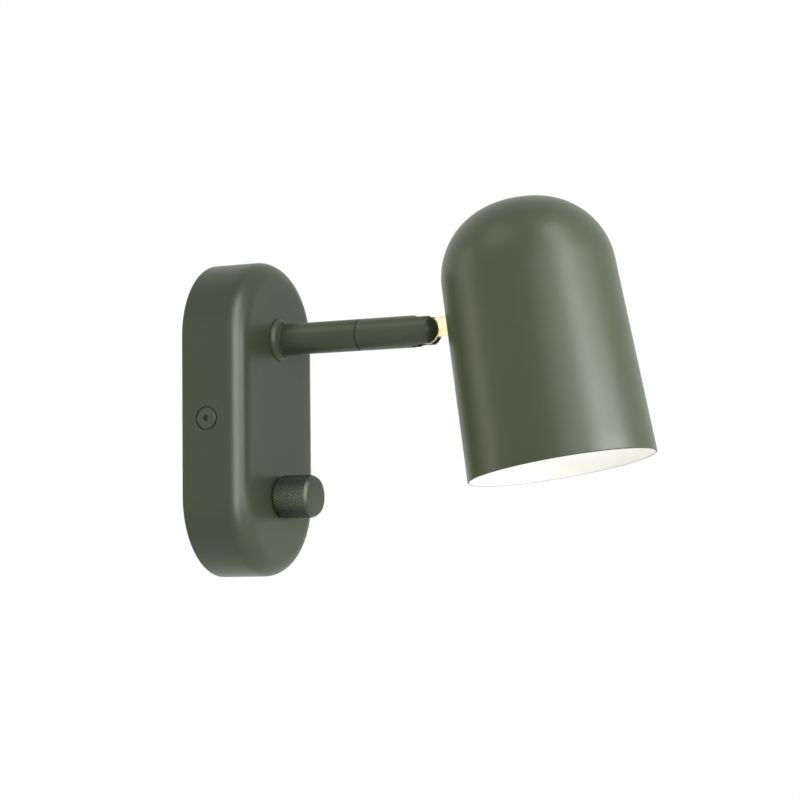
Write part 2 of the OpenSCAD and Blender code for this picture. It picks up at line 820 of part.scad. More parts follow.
// Swivelling front half of the arm, milled to a fork
module arm_sleeve() {
    length = pivot_y + fork_end_r - sleeve_start;
    head_x = arm_r - pivot_sink - pivot_head_h;
    color(OLIVE) difference() {
        intersection() {
            off_wall(sleeve_start, end_z) sleeve_blank(length);
            translate([0, -sleeve_start, end_z]) rotate([0, 0, -90])
                rotate([90, 0, 0]) linear_extrude(2 * arm_d, center = true) sleeve_side();
        }
        off_wall(sleeve_start - cut, end_z) cylinder(r = bore_r, h = bore_end - sleeve_start + cut);
        off_wall(sleeve_start, end_z) cylinder(d = wire_bore, h = length);
        translate([-fork_slot / 2, -(slot_back + 2 * arm_d), end_z - arm_d])
            cube([fork_slot, 2 * arm_d, 2 * arm_d]);
        cross_rod(pivot_d / 2 + fixed_gap, -(arm_r - 2), arm_d, pivot_y, end_z);
        cross_rod(pivot_head_d / 2 + hole_gap, head_x, arm_d, pivot_y, end_z);
    }
}

// Pivot screw, its head sunk in the +x cheek
module pivot_screw() {
    head_x = arm_r - pivot_sink - pivot_head_h;
    tip_x = -(arm_r - 2.4);
    color(STEEL) translate([0, -pivot_y, end_z]) rotate([0, 90, 0]) difference() {
        union() {
            translate([0, 0, tip_x]) cylinder(d = pivot_d, h = head_x - tip_x + 0.5);
            translate([0, 0, head_x]) cylinder(d = pivot_head_d, h = pivot_head_h);
        }
        translate([0, 0, head_x + pivot_head_h - 1.5]) hexagon(pivot_socket, 1.5 + cut);
    }
}

// Two fibre discs, one on each side of the tongue
module friction_discs() {
    color(BLACK) for (s = [-1, 1])
        translate([s * (fork_slot - disc_t) / 2, -pivot_y, end_z]) rotate([0, 90, 0])
            translate([0, 0, -disc_t / 2]) ring(tongue_r - 0.5, pivot_d / 2 + running_gap, disc_t);
}

// Solid of the shade's side, widened or narrowed by an offset, about the head's tilt axis
module side_cone(offset_r, reach = 40) {
    slope = tan(shade_taper);
    translate([0, -axis_y, -reach])
        cylinder(r1 = wall_r + reach * slope + offset_r, r2 = wall_r - reach * slope + offset_r,
            h = 2 * reach);
}

// Two points close to a corner of a route, which keep its rounding tight
function split_corner(before, corner, after, reach = 0.4) =
    [corner + reach * unit(before - corner), corner + reach * unit(after - corner)];

// Route of the head's lead from the knuckle to the lampholder, in the head's upright plane
function head_route() = [
    [0, tongue_r - 1.6, channel_z],
    each split_corner([0, tongue_r, channel_z], [0, -bend_start, channel_z], [0, -(bend_start + bend_run), 0]),
    each split_corner([0, -bend_start, channel_z], [0, -(bend_start + bend_run), 0], [0, -tail_end, 0]),
    [0, -(tail_end + 2), 0],
    [0, -wire_hole_y, 3], [0, -wire_hole_y, holder_top + 8], [0, -(wire_hole_y + 5), holder_top + 12],
    [0, -(axis_y - 5), holder_top + 12], [0, -axis_y, holder_top + 8], [0, -axis_y, holder_top - 8]
];

// Brass knuckle: tongue in the fork, neck, collar shaped to the shade and threaded tail
module knuckle_tongue() {
    gap = fixed_gap / cos(shade_taper);
    channel_r = lead_r + channel_gap;
    color(BRASS) head_pose() difference() {
        union() {
            rotate([0, 90, 0]) cylinder(r = tongue_r, h = tongue_t, center = true);
            translate([-tongue_t / 2, -(neck_start + 1), -root_w / 2])
                cube([tongue_t, neck_start + 1, root_w]);
            off_wall(neck_start) cylinder(d = neck_d, h = neck_l + 0.5);
            difference() {
                off_wall(collar_start) cylinder(d = collar_d, h = collar_t + 2);
                side_cone(gap);
            }
            off_wall(collar_start) cylinder(d = stud_d, h = tail_end - collar_start);
        }
        rotate([0, 90, 0]) cylinder(r = pivot_d / 2 + running_gap, h = arm_d, center = true);
        translate([0, 0, channel_z]) off_wall(-2 * tongue_r) cylinder(r = channel_r, h = 2 * tongue_r + 5);
        translate([0, -bend_start, channel_z]) rotate([90 + atan2(channel_z, bend_run), 0, 0])
            translate([0, 0, -1]) cylinder(r = channel_r, h = norm([channel_z, bend_run]) + 2);
        off_wall(bend_start + bend_run - 1) cylinder(r = channel_r, h = tail_end);
        off_wall(collar_start) cylinder(r = tail_bore / 2, h = tail_end);
    }
}

// Height of the shoulder's centre above the rim, where side, shoulder and crown run into one another
function shoulder_z(r, h, r_shoulder, r_crown) =
    let (
        slope = tan(shade_taper),
        crown_z = h - r_crown,
        base = r - r_shoulder / cos(shade_taper),
        b = crown_z + base * slope,
        a = 1 + slope * slope,
        c = crown_z * crown_z + base * base - pow(r_crown - r_shoulder, 2)
    )
    (b + sqrt(b * b - a * c)) / a;

// Half section of a dome: tapered side, round shoulder and flatter crown
module dome_profile(r, h, r_shoulder, r_crown, below = 0) {
    slope = tan(shade_taper);
    z = shoulder_z(r, h, r_shoulder, r_crown);
    x = r - z * slope - r_shoulder / cos(shade_taper);
    crown_z = h - r_crown;
    turn = atan2(z - crown_z, x);
    far = 2 * r_crown;
    touch = [x + r_shoulder * cos(shade_taper), z + r_shoulder * sin(shade_taper)];
    polygon([[0, -below], [r + below * slope, -below], touch, [x, z], [0, z]]);
    intersection() {
        translate([x, z]) circle(r_shoulder);
        translate([0, z - r_shoulder / 2]) square(far);
    }
    intersection() {
        translate([0, crown_z]) circle(r_crown);
        polygon([[0, crown_z], [0, crown_z] + far * [cos(turn), sin(turn)], [0, crown_z + far]]);
    }
}

// Spun shade with an open rim and a hole for the knuckle's tail
module shade() {
    side_t = shade_t / cos(shade_taper);
    color(OLIVE) head_pose() difference() {
        translate([0, -axis_y, -knuckle_h]) rotate_extrude() difference() {
            dome_profile(rim_r, shade_h, shoulder_r, crown_r);
            dome_profile(rim_r - side_t, shade_h - shade_t, shoulder_r - shade_t, crown_r - shade_t, cut);
        }
        off_wall(collar_start) cylinder(r = stud_d / 2 + hole_gap, h = shade_t + 10);
    }
}

// Washer shaped to the inside of the shade, flat towards the bracket
module saddle_washer() {
    color(STEEL) head_pose() difference() {
        intersection() {
            off_wall(shade_reach - 3) cylinder(d = saddle_d, h = bracket_y - shade_reach + 3);
            side_cone(-(shade_t + fixed_gap) / cos(shade_taper));
        }
        off_wall(shade_reach - 4) cylinder(r = stud_d / 2 + hole_gap, h = saddle_t + 10);
    }
}

// Side section of the holder bracket: upright leg, bend and level leg
module bracket_section() {
    leg_end = axis_y + holder_bracket_w / 2;
    out_r = holder_bend_r + holder_bracket_t;
    z = holder_top;
    foot = saddle_d / 2;
    translate([bracket_y, -foot]) square([holder_bracket_t, z + foot - holder_bend_r]);
    translate([bracket_y + out_r, z]) square([leg_end - bracket_y - out_r, holder_bracket_t]);
    translate([bracket_y + out_r, z - holder_bend_r]) intersection() {
        difference() {
            circle(out_r);
            circle(holder_bend_r);
        }
        translate([-out_r, 0]) square([out_r, out_r]);
    }
}

// Bent bracket that carries the lampholder on the shade's axis
module holder_bracket() {
    color(STEEL) head_pose() difference() {
        rotate([0, 0, -90]) rotate([90, 0, 0])
            linear_extrude(holder_bracket_w, center = true) bracket_section();
        off_wall(bracket_y - cut) cylinder(r = stud_d / 2 + hole_gap, h = holder_bracket_t + 2 * cut);
        translate([0, -axis_y, holder_top - cut])
            cylinder(r = stud_d / 2 + hole_gap, h = holder_bracket_t + 2 * cut);
        translate([0, -wire_hole_y, holder_top - cut])
            cylinder(r = lead_r + 1, h = holder_bracket_t + 2 * cut);
    }
}

// The two nuts of the head, on the knuckle's tail and on the nipple
module head_nuts() {
    color(STEEL) head_pose() {
        off_wall(nut_y) hex_nut(stud_nut_w, stud_d / 2 + fixed_gap, stud_nut_h);
        translate([0, -axis_y, holder_top + holder_bracket_t])
            hex_nut(stud_nut_w, stud_d / 2 + fixed_gap, stud_nut_h);
    }
}

// Hollow nipple between the bracket and the lampholder
module holder_nipple() {
    top = holder_top + holder_bracket_t + stud_nut_h + 1;
    color(STEEL) head_pose() translate([0, -axis_y, top - nipple_l])
        ring(stud_d / 2, stud_bore / 2, nipple_l);
}

// Half section of the lampholder, by height above the tilt axis
module holder_profile() {
    r = holder_d / 2;
    neck_z = holder_top - holder_neck_l;
    hole = holder_top + holder_bracket_t + stud_nut_h + 1 - nipple_l;
    difference() {
        polygon([[0, holder_mouth], [r, holder_mouth], [r, neck_z - 5], [holder_neck_d / 2, neck_z],
            [holder_neck_d / 2, holder_top], [0, holder_top]]);
        translate([0, holder_mouth - cut]) square([r - holder_wall, holder_skirt + cut]);
        translate([0, hole]) square([stud_d / 2 + fixed_gap, nipple_l]);
        square_h = hole - shell_top;
        translate([0, shell_top]) square([stud_bore / 2, square_h + cut]);
    }
}

// Lampholder body
module lampholder() {
    color(WHITE) head_pose() translate([0, -axis_y, 0]) rotate_extrude() holder_profile();
}

// Screw shell that takes the bulb's cap
module holder_shell() {
    r_in = cap_d / 2 + running_gap;
    color(BRASS) head_pose() translate([0, -axis_y, cap_bottom + 3])
        ring(r_in + shell_t, r_in, shell_top - cap_bottom - 3);
}

// Centre contact under the bulb's tip
module centre_contact() {
    color(BRASS) head_pose() translate([0, -axis_y, shell_top - contact_h])
        ring(stud_bore / 2 + 1.4, lead_r, contact_h);
}

// Screw cap of the bulb
module bulb_cap() {
    r = cap_d / 2;
    color(STEEL) head_pose() translate([0, -axis_y, 0]) rotate_extrude() polygon([
        [0, cap_bottom], [r, cap_bottom], [r, cap_top - 4], [r * 0.55, cap_top - 1],
        [r * 0.55, cap_top - fixed_gap], [0, cap_top - fixed_gap]
    ]);
}

// Collar between the screw cap and the globe
module bulb_collar() {
    r = cap_d / 2;
    color(WHITE) head_pose() translate([0, -axis_y, 0]) rotate_extrude() difference() {
        polygon([
            [0, cap_bottom], [r + 0.6, cap_bottom], [r + 1.4, cap_bottom - 3],
            [globe_mouth_d / 2 + 0.6, mouth_z + 1], [globe_mouth_d / 2 + 0.6, mouth_z], [0, mouth_z]
        ]);
        translate([0, mouth_z - cut]) square([globe_mouth_d / 2 - glass_t - 1, cut + 2]);
    }
}

// Frosted globe, open at the collar
module bulb_globe() {
    big = globe_d;
    color(WHITE) head_pose() translate([0, -axis_y, globe_z]) difference() {
        sphere(d = globe_d);
        sphere(d = globe_d - 2 * glass_t);
        translate([-big, -big, mouth_z - globe_z - fixed_gap]) cube(2 * big);
    }
}

// Unit vector
function unit(v) = v / norm(v);

// Rounds a route by cutting its corners
function softened(p, passes) = passes == 0 ? p : softened(
    concat([p[0]],
        [for (i = [0 : len(p) - 2]) each [0.75 * p[i] + 0.25 * p[i + 1], 0.25 * p[i] + 0.75 * p[i + 1]]],
        [p[len(p) - 1]]),
    passes - 1);

// Round lead along a route; no stretch of the route runs along the direction across
module lead(route, across = [1, 0, 0], r = lead_r) {
    p = softened(route, lead_passes);
    last = len(p) - 1;
    rings = [for (i = [0 : last])
        let (
            t = unit(p[min(i + 1, last)] - p[max(i - 1, 0)]),
            u = unit(cross(t, across)),
            v = cross(t, u)
        )
        for (k = [0 : lead_sides - 1]) let (a = 360 * k / lead_sides) p[i] + r * (cos(a) * u + sin(a) * v)];
    skin = [for (i = [0 : last - 1], k = [0 : lead_sides - 1])
        let (a = i * lead_sides + k, b = i * lead_sides + (k + 1) % lead_sides, c = b + lead_sides,
            d = a + lead_sides)
        each [[a, d, c], [a, c, b]]];
    polyhedron(
        points = rings,
        faces = concat(
            [[for (k = [0 : lead_sides - 1]) k]],
            skin,
            [[for (k = [lead_sides - 1 : -1 : 0]) last * lead_sides + k]]
        )
    );
}

// Place of a pole in the terminal block, sideways
function pole_x(i) = (i - (poles - 1) / 2) * pole_pitch;

// Height and distance from the wall of the wire entries of the terminal block
entry_y = bracket_t + block_floor + 1.9;
entry_top = block_z + block_h / 2;
entry_bottom = block_z - block_h / 2;

// Leads from the terminal block to the dimmer, one for each of the two outer poles
module supply_leads() {
    color(WHITE) for (i = [0, poles - 1])
        lead([
            [pole_x(i), -entry_y, entry_bottom + 2], [pole_x(i), -entry_y, entry_bottom - 4],
            [pole_x(i), -(entry_y + 1), entry_bottom - 9], [pole_x(i) * 0.8, -(dimmer_back - 3), -end_z + 6],
            [pole_x(i) * 0.8, -(dimmer_back - 2), -end_z], [pole_x(i) * 0.8, -(dimmer_back - 0.05), -end_z]
        ]);
}

// Earth lead from the earth screw to the middle pole of the block
module earth_lead() {
    start = [earth_x - 4.6, -(bracket_t + 3), earth_z];
    color("#c9c43c") lead([
        start, start + [-3, -1, 1], [pole_x(poles - 1) + 1, -(entry_y + 2), entry_top + 7],
        [pole_x(poles - 1), -entry_y, entry_top + 4], [pole_x(poles - 1), -entry_y, entry_top - 2]
    ], across = [0, 1, 0]);
}

// Flex from the terminal block through the hollow stud to the end of the swivel journal
module base_flex() {
    color(BLACK) lead([
        [pole_x(0), -entry_y, entry_top - 2], [pole_x(0), -entry_y, entry_top + 6],
        [pole_x(0), -(entry_y + 6), end_z - 8], [0, -(entry_y + 6), end_z - 2],
        [0, -(entry_y + 11), end_z], [0, -(housing_d + 6), end_z], [0, -(journal_end - seam / 2), end_z]
    ]);
}

// Flex from the swivel to the fork's slot, inside the sleeve
module sleeve_flex() {
    rise = wire_bore / 2 - lead_r - 0.2;
    color(BLACK) lead([
        [0, -(journal_end + seam / 2), end_z], [0, -(bore_end + 1), end_z],
        [0, -(slot_back - 6), end_z + rise], [0, -(slot_back - 0.2), end_z + rise]
    ]);
}

// Lead through the knuckle and over the holder bracket into the nipple
module head_flex() {
    color(BLACK) head_pose() lead(head_route());
}

housing();
side_screws();
wall_bracket();
cable_grommet();
terminal_block();
clamp_screws();
earth_screw();
dimmer_case();
dimmer_washer();
dimmer_nut();
dimmer_shaft();
knob();
knob_insert();
arm_ferrule();
arm_tube();
arm_plug();
arm_stud();
arm_washer();
arm_nut();
swivel_spindle();
friction_washer();
retaining_ring();
arm_sleeve();
swivel_bush();
pivot_screw();
friction_discs();
knuckle_tongue();
shade();
saddle_washer();
holder_bracket();
head_nuts();
holder_nipple();
lampholder();
holder_shell();
centre_contact();
bulb_cap();
bulb_collar();
bulb_globe();
supply_leads();
earth_lead();
base_flex();
sleeve_flex();
head_flex();
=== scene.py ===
"""Looks of an adjustable wall lamp: coated housing, arm and shade, knurled dimmer knob, brass knuckle."""

import json
import logging
import math
from collections.abc import Callable, Sequence
from dataclasses import dataclass, field
from enum import Enum
from functools import partial

import bmesh
import bpy
from mathutils import Matrix, Vector

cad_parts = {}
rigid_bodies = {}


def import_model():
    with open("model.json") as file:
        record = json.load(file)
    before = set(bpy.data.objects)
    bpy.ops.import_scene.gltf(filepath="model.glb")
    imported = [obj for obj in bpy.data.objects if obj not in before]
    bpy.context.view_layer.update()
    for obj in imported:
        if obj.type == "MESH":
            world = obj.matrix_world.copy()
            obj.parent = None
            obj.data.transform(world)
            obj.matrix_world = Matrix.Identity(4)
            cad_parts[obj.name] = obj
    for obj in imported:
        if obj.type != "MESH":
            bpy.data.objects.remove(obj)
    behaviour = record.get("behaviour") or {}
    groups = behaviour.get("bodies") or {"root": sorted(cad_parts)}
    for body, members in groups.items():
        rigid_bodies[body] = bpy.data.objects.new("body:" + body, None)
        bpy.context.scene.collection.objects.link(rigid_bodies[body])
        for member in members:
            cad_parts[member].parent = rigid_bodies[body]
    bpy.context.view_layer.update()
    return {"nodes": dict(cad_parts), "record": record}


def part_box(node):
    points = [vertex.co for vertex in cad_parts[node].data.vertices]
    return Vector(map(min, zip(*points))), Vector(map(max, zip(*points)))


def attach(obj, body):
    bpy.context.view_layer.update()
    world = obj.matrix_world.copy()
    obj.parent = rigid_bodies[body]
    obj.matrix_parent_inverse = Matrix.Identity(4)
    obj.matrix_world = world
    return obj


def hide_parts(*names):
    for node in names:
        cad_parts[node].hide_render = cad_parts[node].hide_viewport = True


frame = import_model()
BODY_OF = {node: body for body, nodes in frame["record"]["behaviour"]["bodies"].items() for node in nodes}

LOG = logging.getLogger("wall_lamp")

Profile = list[tuple[float, float]]
Colour = tuple[float, float, float]
Work = bmesh.types.BMesh
Recipe = Callable[[Work], None]
Piece = bpy.types.Object
Node = bpy.types.Node
Socket = bpy.types.NodeSocket
Ring = Sequence[bmesh.types.BMVert]

MM = 0.001
SAME_POINT = 1e-7
SAME_COPIED_POINT = 2e-7
ON_AXIS = 1e-9
UNTURNED = Matrix.Identity(4)
SIDEWAYS = Matrix.Rotation(math.radians(90), 4, "Y")
IMAGE_SIDE = 800


def srgb(red: int, green: int, blue: int) -> Colour:
    """Scene-linear values of a display colour whose channels run from 0 to 255."""
    shares = [value / 255 for value in (red, green, blue)]
    return tuple(v / 12.92 if v <= 0.04045 else ((v + 0.055) / 1.055) ** 2.4 for v in shares)


# Materials


class NodeBench:
    """Adds the nodes of one tree and joins them."""

    def __init__(self, tree: bpy.types.NodeTree) -> None:
        """Keeps the tree that is worked on."""
        self.tree = tree

    def feed(self, node: Node, inputs: dict[str | int, object]) -> Node:
        """Joins sockets to a node's inputs, or sets plain values there.

        Args:
            node: The node.
            inputs: Sockets or values, by the input's name or number.

        Returns:
            The node.
        """
        for key, value in inputs.items():
            if isinstance(value, Socket):
                self.tree.links.new(value, node.inputs[key])
            else:
                node.inputs[key].default_value = value
        return node

    def add(self, kind: str, inputs: dict[str | int, object] | None = None, **settings: object) -> Node:
        """Adds a node.

        Args:
            kind: The node's type name.
            inputs: Sockets or values, by the input's name or number.
            settings: The node's properties by name.

        Returns:
            The new node.
        """
        node = self.tree.nodes.new(kind)
        for key, value in settings.items():
            setattr(node, key, value)
        return self.feed(node, inputs or {})

    def noise(self, place: Socket, scale: float, detail: float = 2.0) -> Socket:
        """Noise from 0 to 1, with its scale in cells per metre and its detail in octaves."""
        node = self.add("ShaderNodeTexNoise", {"Vector": place, "Scale": scale, "Detail": detail})
        return node.outputs["Fac"]

    def stretch(self, value: Socket, low: float, high: float, start: float = 0.3, end: float = 0.7) -> Socket:
        """Value that runs from low to high while the given one runs from start to end."""
        limits = {"From Min": start, "From Max": end, "To Min": low, "To Max": high}
        return self.add("ShaderNodeMapRange", {"Value": value, **limits}).outputs["Result"]

    def blend(self, share: Socket, first: Colour | Socket, second: Colour) -> Socket:
        """Mix of two colours, by the share of the second one."""
        start = (*first, 1.0) if isinstance(first, tuple) else first
        return self.add("ShaderNodeMix", {0: share, 6: start, 7: (*second, 1.0)}, data_type="RGBA").outputs[2]

    def maths(self, operation: str, *values: Socket | float) -> Socket:
        """Result of one operation on sockets or plain numbers."""
        return self.add("ShaderNodeMath", dict(enumerate(values)), operation=operation).outputs[0]


def node_material(name: str) -> tuple[bpy.types.Material, NodeBench, Node]:
    """Makes an empty material.

    Args:
        name: Name of the material.

    Returns:
        The material, its node bench and its surface shader.
    """
    material = bpy.data.materials.new(name)
    material.use_nodes = True
    return material, NodeBench(material.node_tree), material.node_tree.nodes["Principled BSDF"]


@dataclass(frozen=True)
class Finish:
    """One surface finish, made of a base colour, a drift of colour and gloss, and a fine relief.

    Attributes:
        name: Name of the material.
        colour: Base colour.
        drift: Second colour, met in broad soft patches.
        rough_low: Least roughness.
        rough_high: Greatest roughness.
        patch_scale: Patches per metre.
        grain_scale: Grains of relief per metre.
        grain_depth: Height of the relief in metres.
        metallic: 1 for bare metal.
        ior: Index of refraction.
        glow: Strength of a glow.
        turned: Whether the relief runs in rings round the turned axis.
        valley: Darker colour laid in the bottom of a knurl as painted shade, or none.
    """

    name: str
    colour: Colour
    drift: Colour
    rough_low: float
    rough_high: float
    patch_scale: float = 24.0
    grain_scale: float = 1600.0
    grain_depth: float = 0.02 * MM
    metallic: float = 0.0
    ior: float = 1.5
    glow: float = 0.0
    turned: bool = False
    valley: Colour | None = None

    def build(self) -> bpy.types.Material:
        """Makes the material, or returns it where it is made already.

        Returns:
            The material.
        """
        made = bpy.data.materials.get(self.name)
        if made:
            return made
        material, bench, shader = node_material(self.name)
        place = bench.add("ShaderNodeTexCoord").outputs["Object"]
        gloss = bench.noise(place, self.patch_scale * 3.0, detail=4.0)
        bench.feed(shader, {
            "Base Color": self._colour(bench, place), "Normal": self._relief(bench, place),
            "Roughness": bench.stretch(gloss, self.rough_low, self.rough_high),
            "Metallic": self.metallic, "IOR": self.ior})
        if self.glow:
            bench.feed(shader, {"Emission Color": (1.0, 0.995, 0.98, 1.0), "Emission Strength": self.glow})
        return material

    def _colour(self, bench: NodeBench, place: Socket) -> Socket:
        """Lays the colour, its drift and the painted shade in the valleys of a knurl.

        Args:
            bench: The material's node bench.
            place: Object coordinates.

        Returns:
            The colour.
        """
        patches = bench.stretch(bench.noise(place, self.patch_scale, detail=3.0), 0.0, 1.0)
        colour = bench.blend(patches, self.colour, self.drift)
        # Painted shade: the knurl's valleys are darkened in step with how deep they sink
        if self.valley:
            sunken = bench.add("ShaderNodeAttribute", attribute_name="sunken").outputs["Fac"]
            colour = bench.blend(bench.stretch(sunken, 0.0, 1.0, 0.24, 0.52), colour, self.valley)
        return colour

    def _relief(self, bench: NodeBench, place: Socket) -> Socket:
        """Raises the fine relief.

        Args:
            bench: The material's node bench.
            place: Object coordinates.

        Returns:
            The surface normal.
        """
        if self.turned:
            drawn = bench.add("ShaderNodeMapping", {"Vector": place, "Scale": (0.12, 1.0, 0.12)})
            place = drawn.outputs["Vector"]
        grain = bench.noise(place, self.grain_scale)
        bump = bench.add("ShaderNodeBump", {"Height": grain, "Strength": 1.0, "Distance": self.grain_depth})
        return bump.outputs["Normal"]


class Finishes(Enum):
    """The finishes of the lamp's pieces."""

    OLIVE = Finish("olive_powder_coat", srgb(72, 80, 59), srgb(74, 81, 62), 0.33, 0.39, ior=1.36)
    # Same coat as the housing, painted lighter on the knurl's crests as painted highlight and darker in its
    # valleys as painted shade
    OLIVE_KNOB = Finish("olive_coat_on_knurl", srgb(88, 95, 75), srgb(91, 98, 78), 0.22, 0.28,
                        grain_depth=0.006 * MM, valley=srgb(33, 37, 26))
    WHITE_COAT = Finish("white_inner_coat", srgb(244, 244, 240), srgb(240, 240, 237), 0.42, 0.52)
    BRASS = Finish("satin_brass", srgb(247, 228, 186), srgb(243, 221, 174), 0.3, 0.38, metallic=1.0,
                   grain_scale=3200.0, grain_depth=0.004 * MM, turned=True)
    ZINC = Finish("zinc_plate", srgb(170, 173, 177), srgb(158, 162, 167), 0.32, 0.44, metallic=1.0,
                  patch_scale=160.0, grain_scale=2400.0, grain_depth=0.004 * MM)
    WHITE_PLASTIC = Finish("white_moulding", srgb(226, 225, 218), srgb(220, 218, 210), 0.38, 0.48,
                           grain_depth=0.006 * MM)
    BLACK_PLASTIC = Finish("black_moulding", srgb(38, 39, 41), srgb(44, 45, 47), 0.42, 0.55,
                           grain_depth=0.01 * MM)
    FIBRE = Finish("pressed_fibre", srgb(74, 58, 46), srgb(60, 46, 38), 0.7, 0.85, patch_scale=300.0,
                   grain_scale=4000.0)
    RUBBER = Finish("soft_rubber", srgb(40, 40, 41), srgb(48, 48, 50), 0.6, 0.75)
    WHITE_SHEATH = Finish("white_silicone", srgb(224, 222, 215), srgb(214, 212, 205), 0.45, 0.6)
    EARTH_SHEATH = Finish("earth_silicone", srgb(196, 190, 60), srgb(120, 160, 60), 0.45, 0.6,
                          patch_scale=260.0)
    BLACK_SHEATH = Finish("black_silicone", srgb(44, 44, 46), srgb(52, 52, 55), 0.45, 0.6)
    OPAL = Finish("opal_globe_glass", srgb(246, 244, 238), srgb(243, 240, 232), 0.3, 0.4,
                  grain_depth=0.004 * MM, glow=3.0)


# Workshop


def off_wall(distance: float, height: float) -> Matrix:
    """Placement whose +Z axis points into the room and whose +Y axis points up."""
    return Matrix.Translation((0.0, -distance, height)) @ Matrix.Rotation(math.radians(90), 4, "X")


def arc(centre: tuple[float, float], radius: float, start: float, end: float, steps: int) -> Profile:
    """Points along an arc between two angles in degrees, both ends included."""
    turns = [math.radians(start + (end - start) * i / steps) for i in range(steps + 1)]
    return [(centre[0] + radius * math.cos(t), centre[1] + radius * math.sin(t)) for t in turns]


def eased(corners: Sequence[tuple[float, float, float]], steps: int = 4) -> Profile:
    """Rounds the corners of an open outline.

    Args:
        corners: Points with the radius of each corner, 0 for a sharp one.
        steps: Chords in each round.

    Returns:
        The rounded outline.
    """
    out: Profile = [corners[0][:2]]
    for before, here, after in zip(corners, corners[1:], corners[2:]):
        point = Vector(here[:2])
        to_before = (Vector(before[:2]) - point).normalized()
        to_after = (Vector(after[:2]) - point).normalized()
        half = to_before.angle(to_after) / 2
        if here[2] <= 0 or half > math.radians(89):
            out.append(tuple(point))
            continue
        reach = here[2] / math.tan(half)
        centre = point + (to_before + to_after).normalized() * here[2] / math.sin(half)
        first = point + to_before * reach - centre
        turn = first.angle_signed(point + to_after * reach - centre)
        for i in range(steps + 1):
            a = -turn * i / steps
            spun = Vector((first.x * math.cos(a) - first.y * math.sin(a),
                           first.x * math.sin(a) + first.y * math.cos(a)))
            out.append(tuple(centre + spun))
    out.append(corners[-1][:2])
    return out


def place_object(name: str, data: bpy.types.ID) -> Piece:
    """Adds an object to the scene.

    Args:
        name: Name of the object.
        data: Its mesh, light or camera.

    Returns:
        The object.
    """
    item = bpy.data.objects.new(name, data)
    bpy.context.scene.collection.objects.link(item)
    return item


def add_mesh(name: str, fill: Recipe | Work, finishes: Sequence[Finishes] = (), place: Matrix = UNTURNED,
             sharp: float = 35.0) -> Piece:
    """Makes an object whose place is in its mesh.

    Args:
        name: Name of the piece.
        fill: Recipe that fills a mesh, or a mesh that is filled already.
        finishes: Finishes by material index.
        place: Placement of the mesh.
        sharp: Edges that turn by more than this many degrees stay sharp.

    Returns:
        The new object.
    """
    work = fill if isinstance(fill, Work) else bmesh.new()
    if work is not fill:
        fill(work)
    bmesh.ops.remove_doubles(work, verts=work.verts, dist=SAME_POINT)
    bmesh.ops.recalc_face_normals(work, faces=work.faces)
    work.transform(place)
    work.normal_update()
    for face in work.faces:
        face.smooth = True
    for edge in work.edges:
        if len(edge.link_faces) == 2:
            edge.smooth = edge.calc_face_angle(0.0) < math.radians(sharp)
    mesh = bpy.data.meshes.new(name)
    work.to_mesh(mesh)
    work.free()
    for finish in finishes:
        mesh.materials.append(finish.value.build())
    return place_object(name, mesh)


def revolved(profile: Profile, segments: int = 128, closed: bool = True,
             paint: Callable[[int], int] = lambda band: 0) -> Recipe:
    """Recipe for a body of revolution about the Z axis.

    Args:
        profile: Points of (radius, height).
        segments: Number of sides.
        closed: Whether the last point joins the first.
        paint: Gives the material index of each band.

    Returns:
        The recipe.
    """

    def fill(work: Work) -> None:
        """Fills the mesh with rings and bands.

        Args:
            work: The mesh.
        """
        turns = [2 * math.pi * k / segments for k in range(segments)]
        rings = []
        for radius, height in profile:
            if radius < ON_AXIS:
                rings.append([work.verts.new((0.0, 0.0, height))] * segments)
            else:
                spots = [(radius * math.cos(t), radius * math.sin(t), height) for t in turns]
                rings.append([work.verts.new(spot) for spot in spots])
        if closed:
            rings.append(rings[0])
        for band, (low, high) in enumerate(zip(rings, rings[1:])):
            join_rings(work, low, high, paint(band))

    return fill


def join_rings(work: Work, low: Ring, high: Ring, index: int = 0) -> None:
    """Lays a band of faces between two rings with as many points.

    Args:
        work: The mesh.
        low: First ring; a ring of one repeated point is a tip.
        high: Second ring.
        index: Material index of the band.
    """
    for k in range(len(low)):
        after = (k + 1) % len(low)
        corners = list(dict.fromkeys([low[k], low[after], high[after], high[k]]))
        if len(corners) >= 3:
            work.faces.new(corners).material_index = index


def rod(radius: float, start: float, end: float, sides: int = 96) -> Recipe:
    """Recipe for a plain round rod along Z."""
    return revolved([(0.0, start), (radius, start), (radius, end), (0.0, end)], sides, closed=False)


def prism(outline: Profile, half_width: float) -> Recipe:
    """Recipe for a block whose side outline is given as (depth, height) and whose width runs along X.

    Args:
        outline: Points of the side outline, counter-clockwise.
        half_width: Half of its width.

    Returns:
        The recipe.
    """

    def fill(work: Work) -> None:
        """Fills the mesh with two faces and a band.

        Args:
            work: The mesh.
        """
        near, far = ([work.verts.new((x, y, z)) for y, z in outline] for x in (-half_width, half_width))
        work.faces.new(near)
        work.faces.new(list(reversed(far)))
        join_rings(work, near, far)

    return fill


def plain_copy(item: Piece, name: str) -> Piece:
    """Turns an object and its modifiers, where it has some, into a plain mesh object.

    Args:
        item: The object.
        name: Name of the plain piece.

    Returns:
        The plain piece; the first object is removed.
    """
    graph = bpy.context.evaluated_depsgraph_get()
    mesh = bpy.data.meshes.new_from_object(item.evaluated_get(graph))
    mesh.name = name
    bpy.data.objects.remove(item)
    return place_object(name, mesh)


@dataclass(frozen=True)
class Cut:
    """One cut in a blank: the recipe of its tool, the tool's place, and how the tool works."""

    tool: Recipe
    place: Matrix = UNTURNED
    operation: str = "DIFFERENCE"


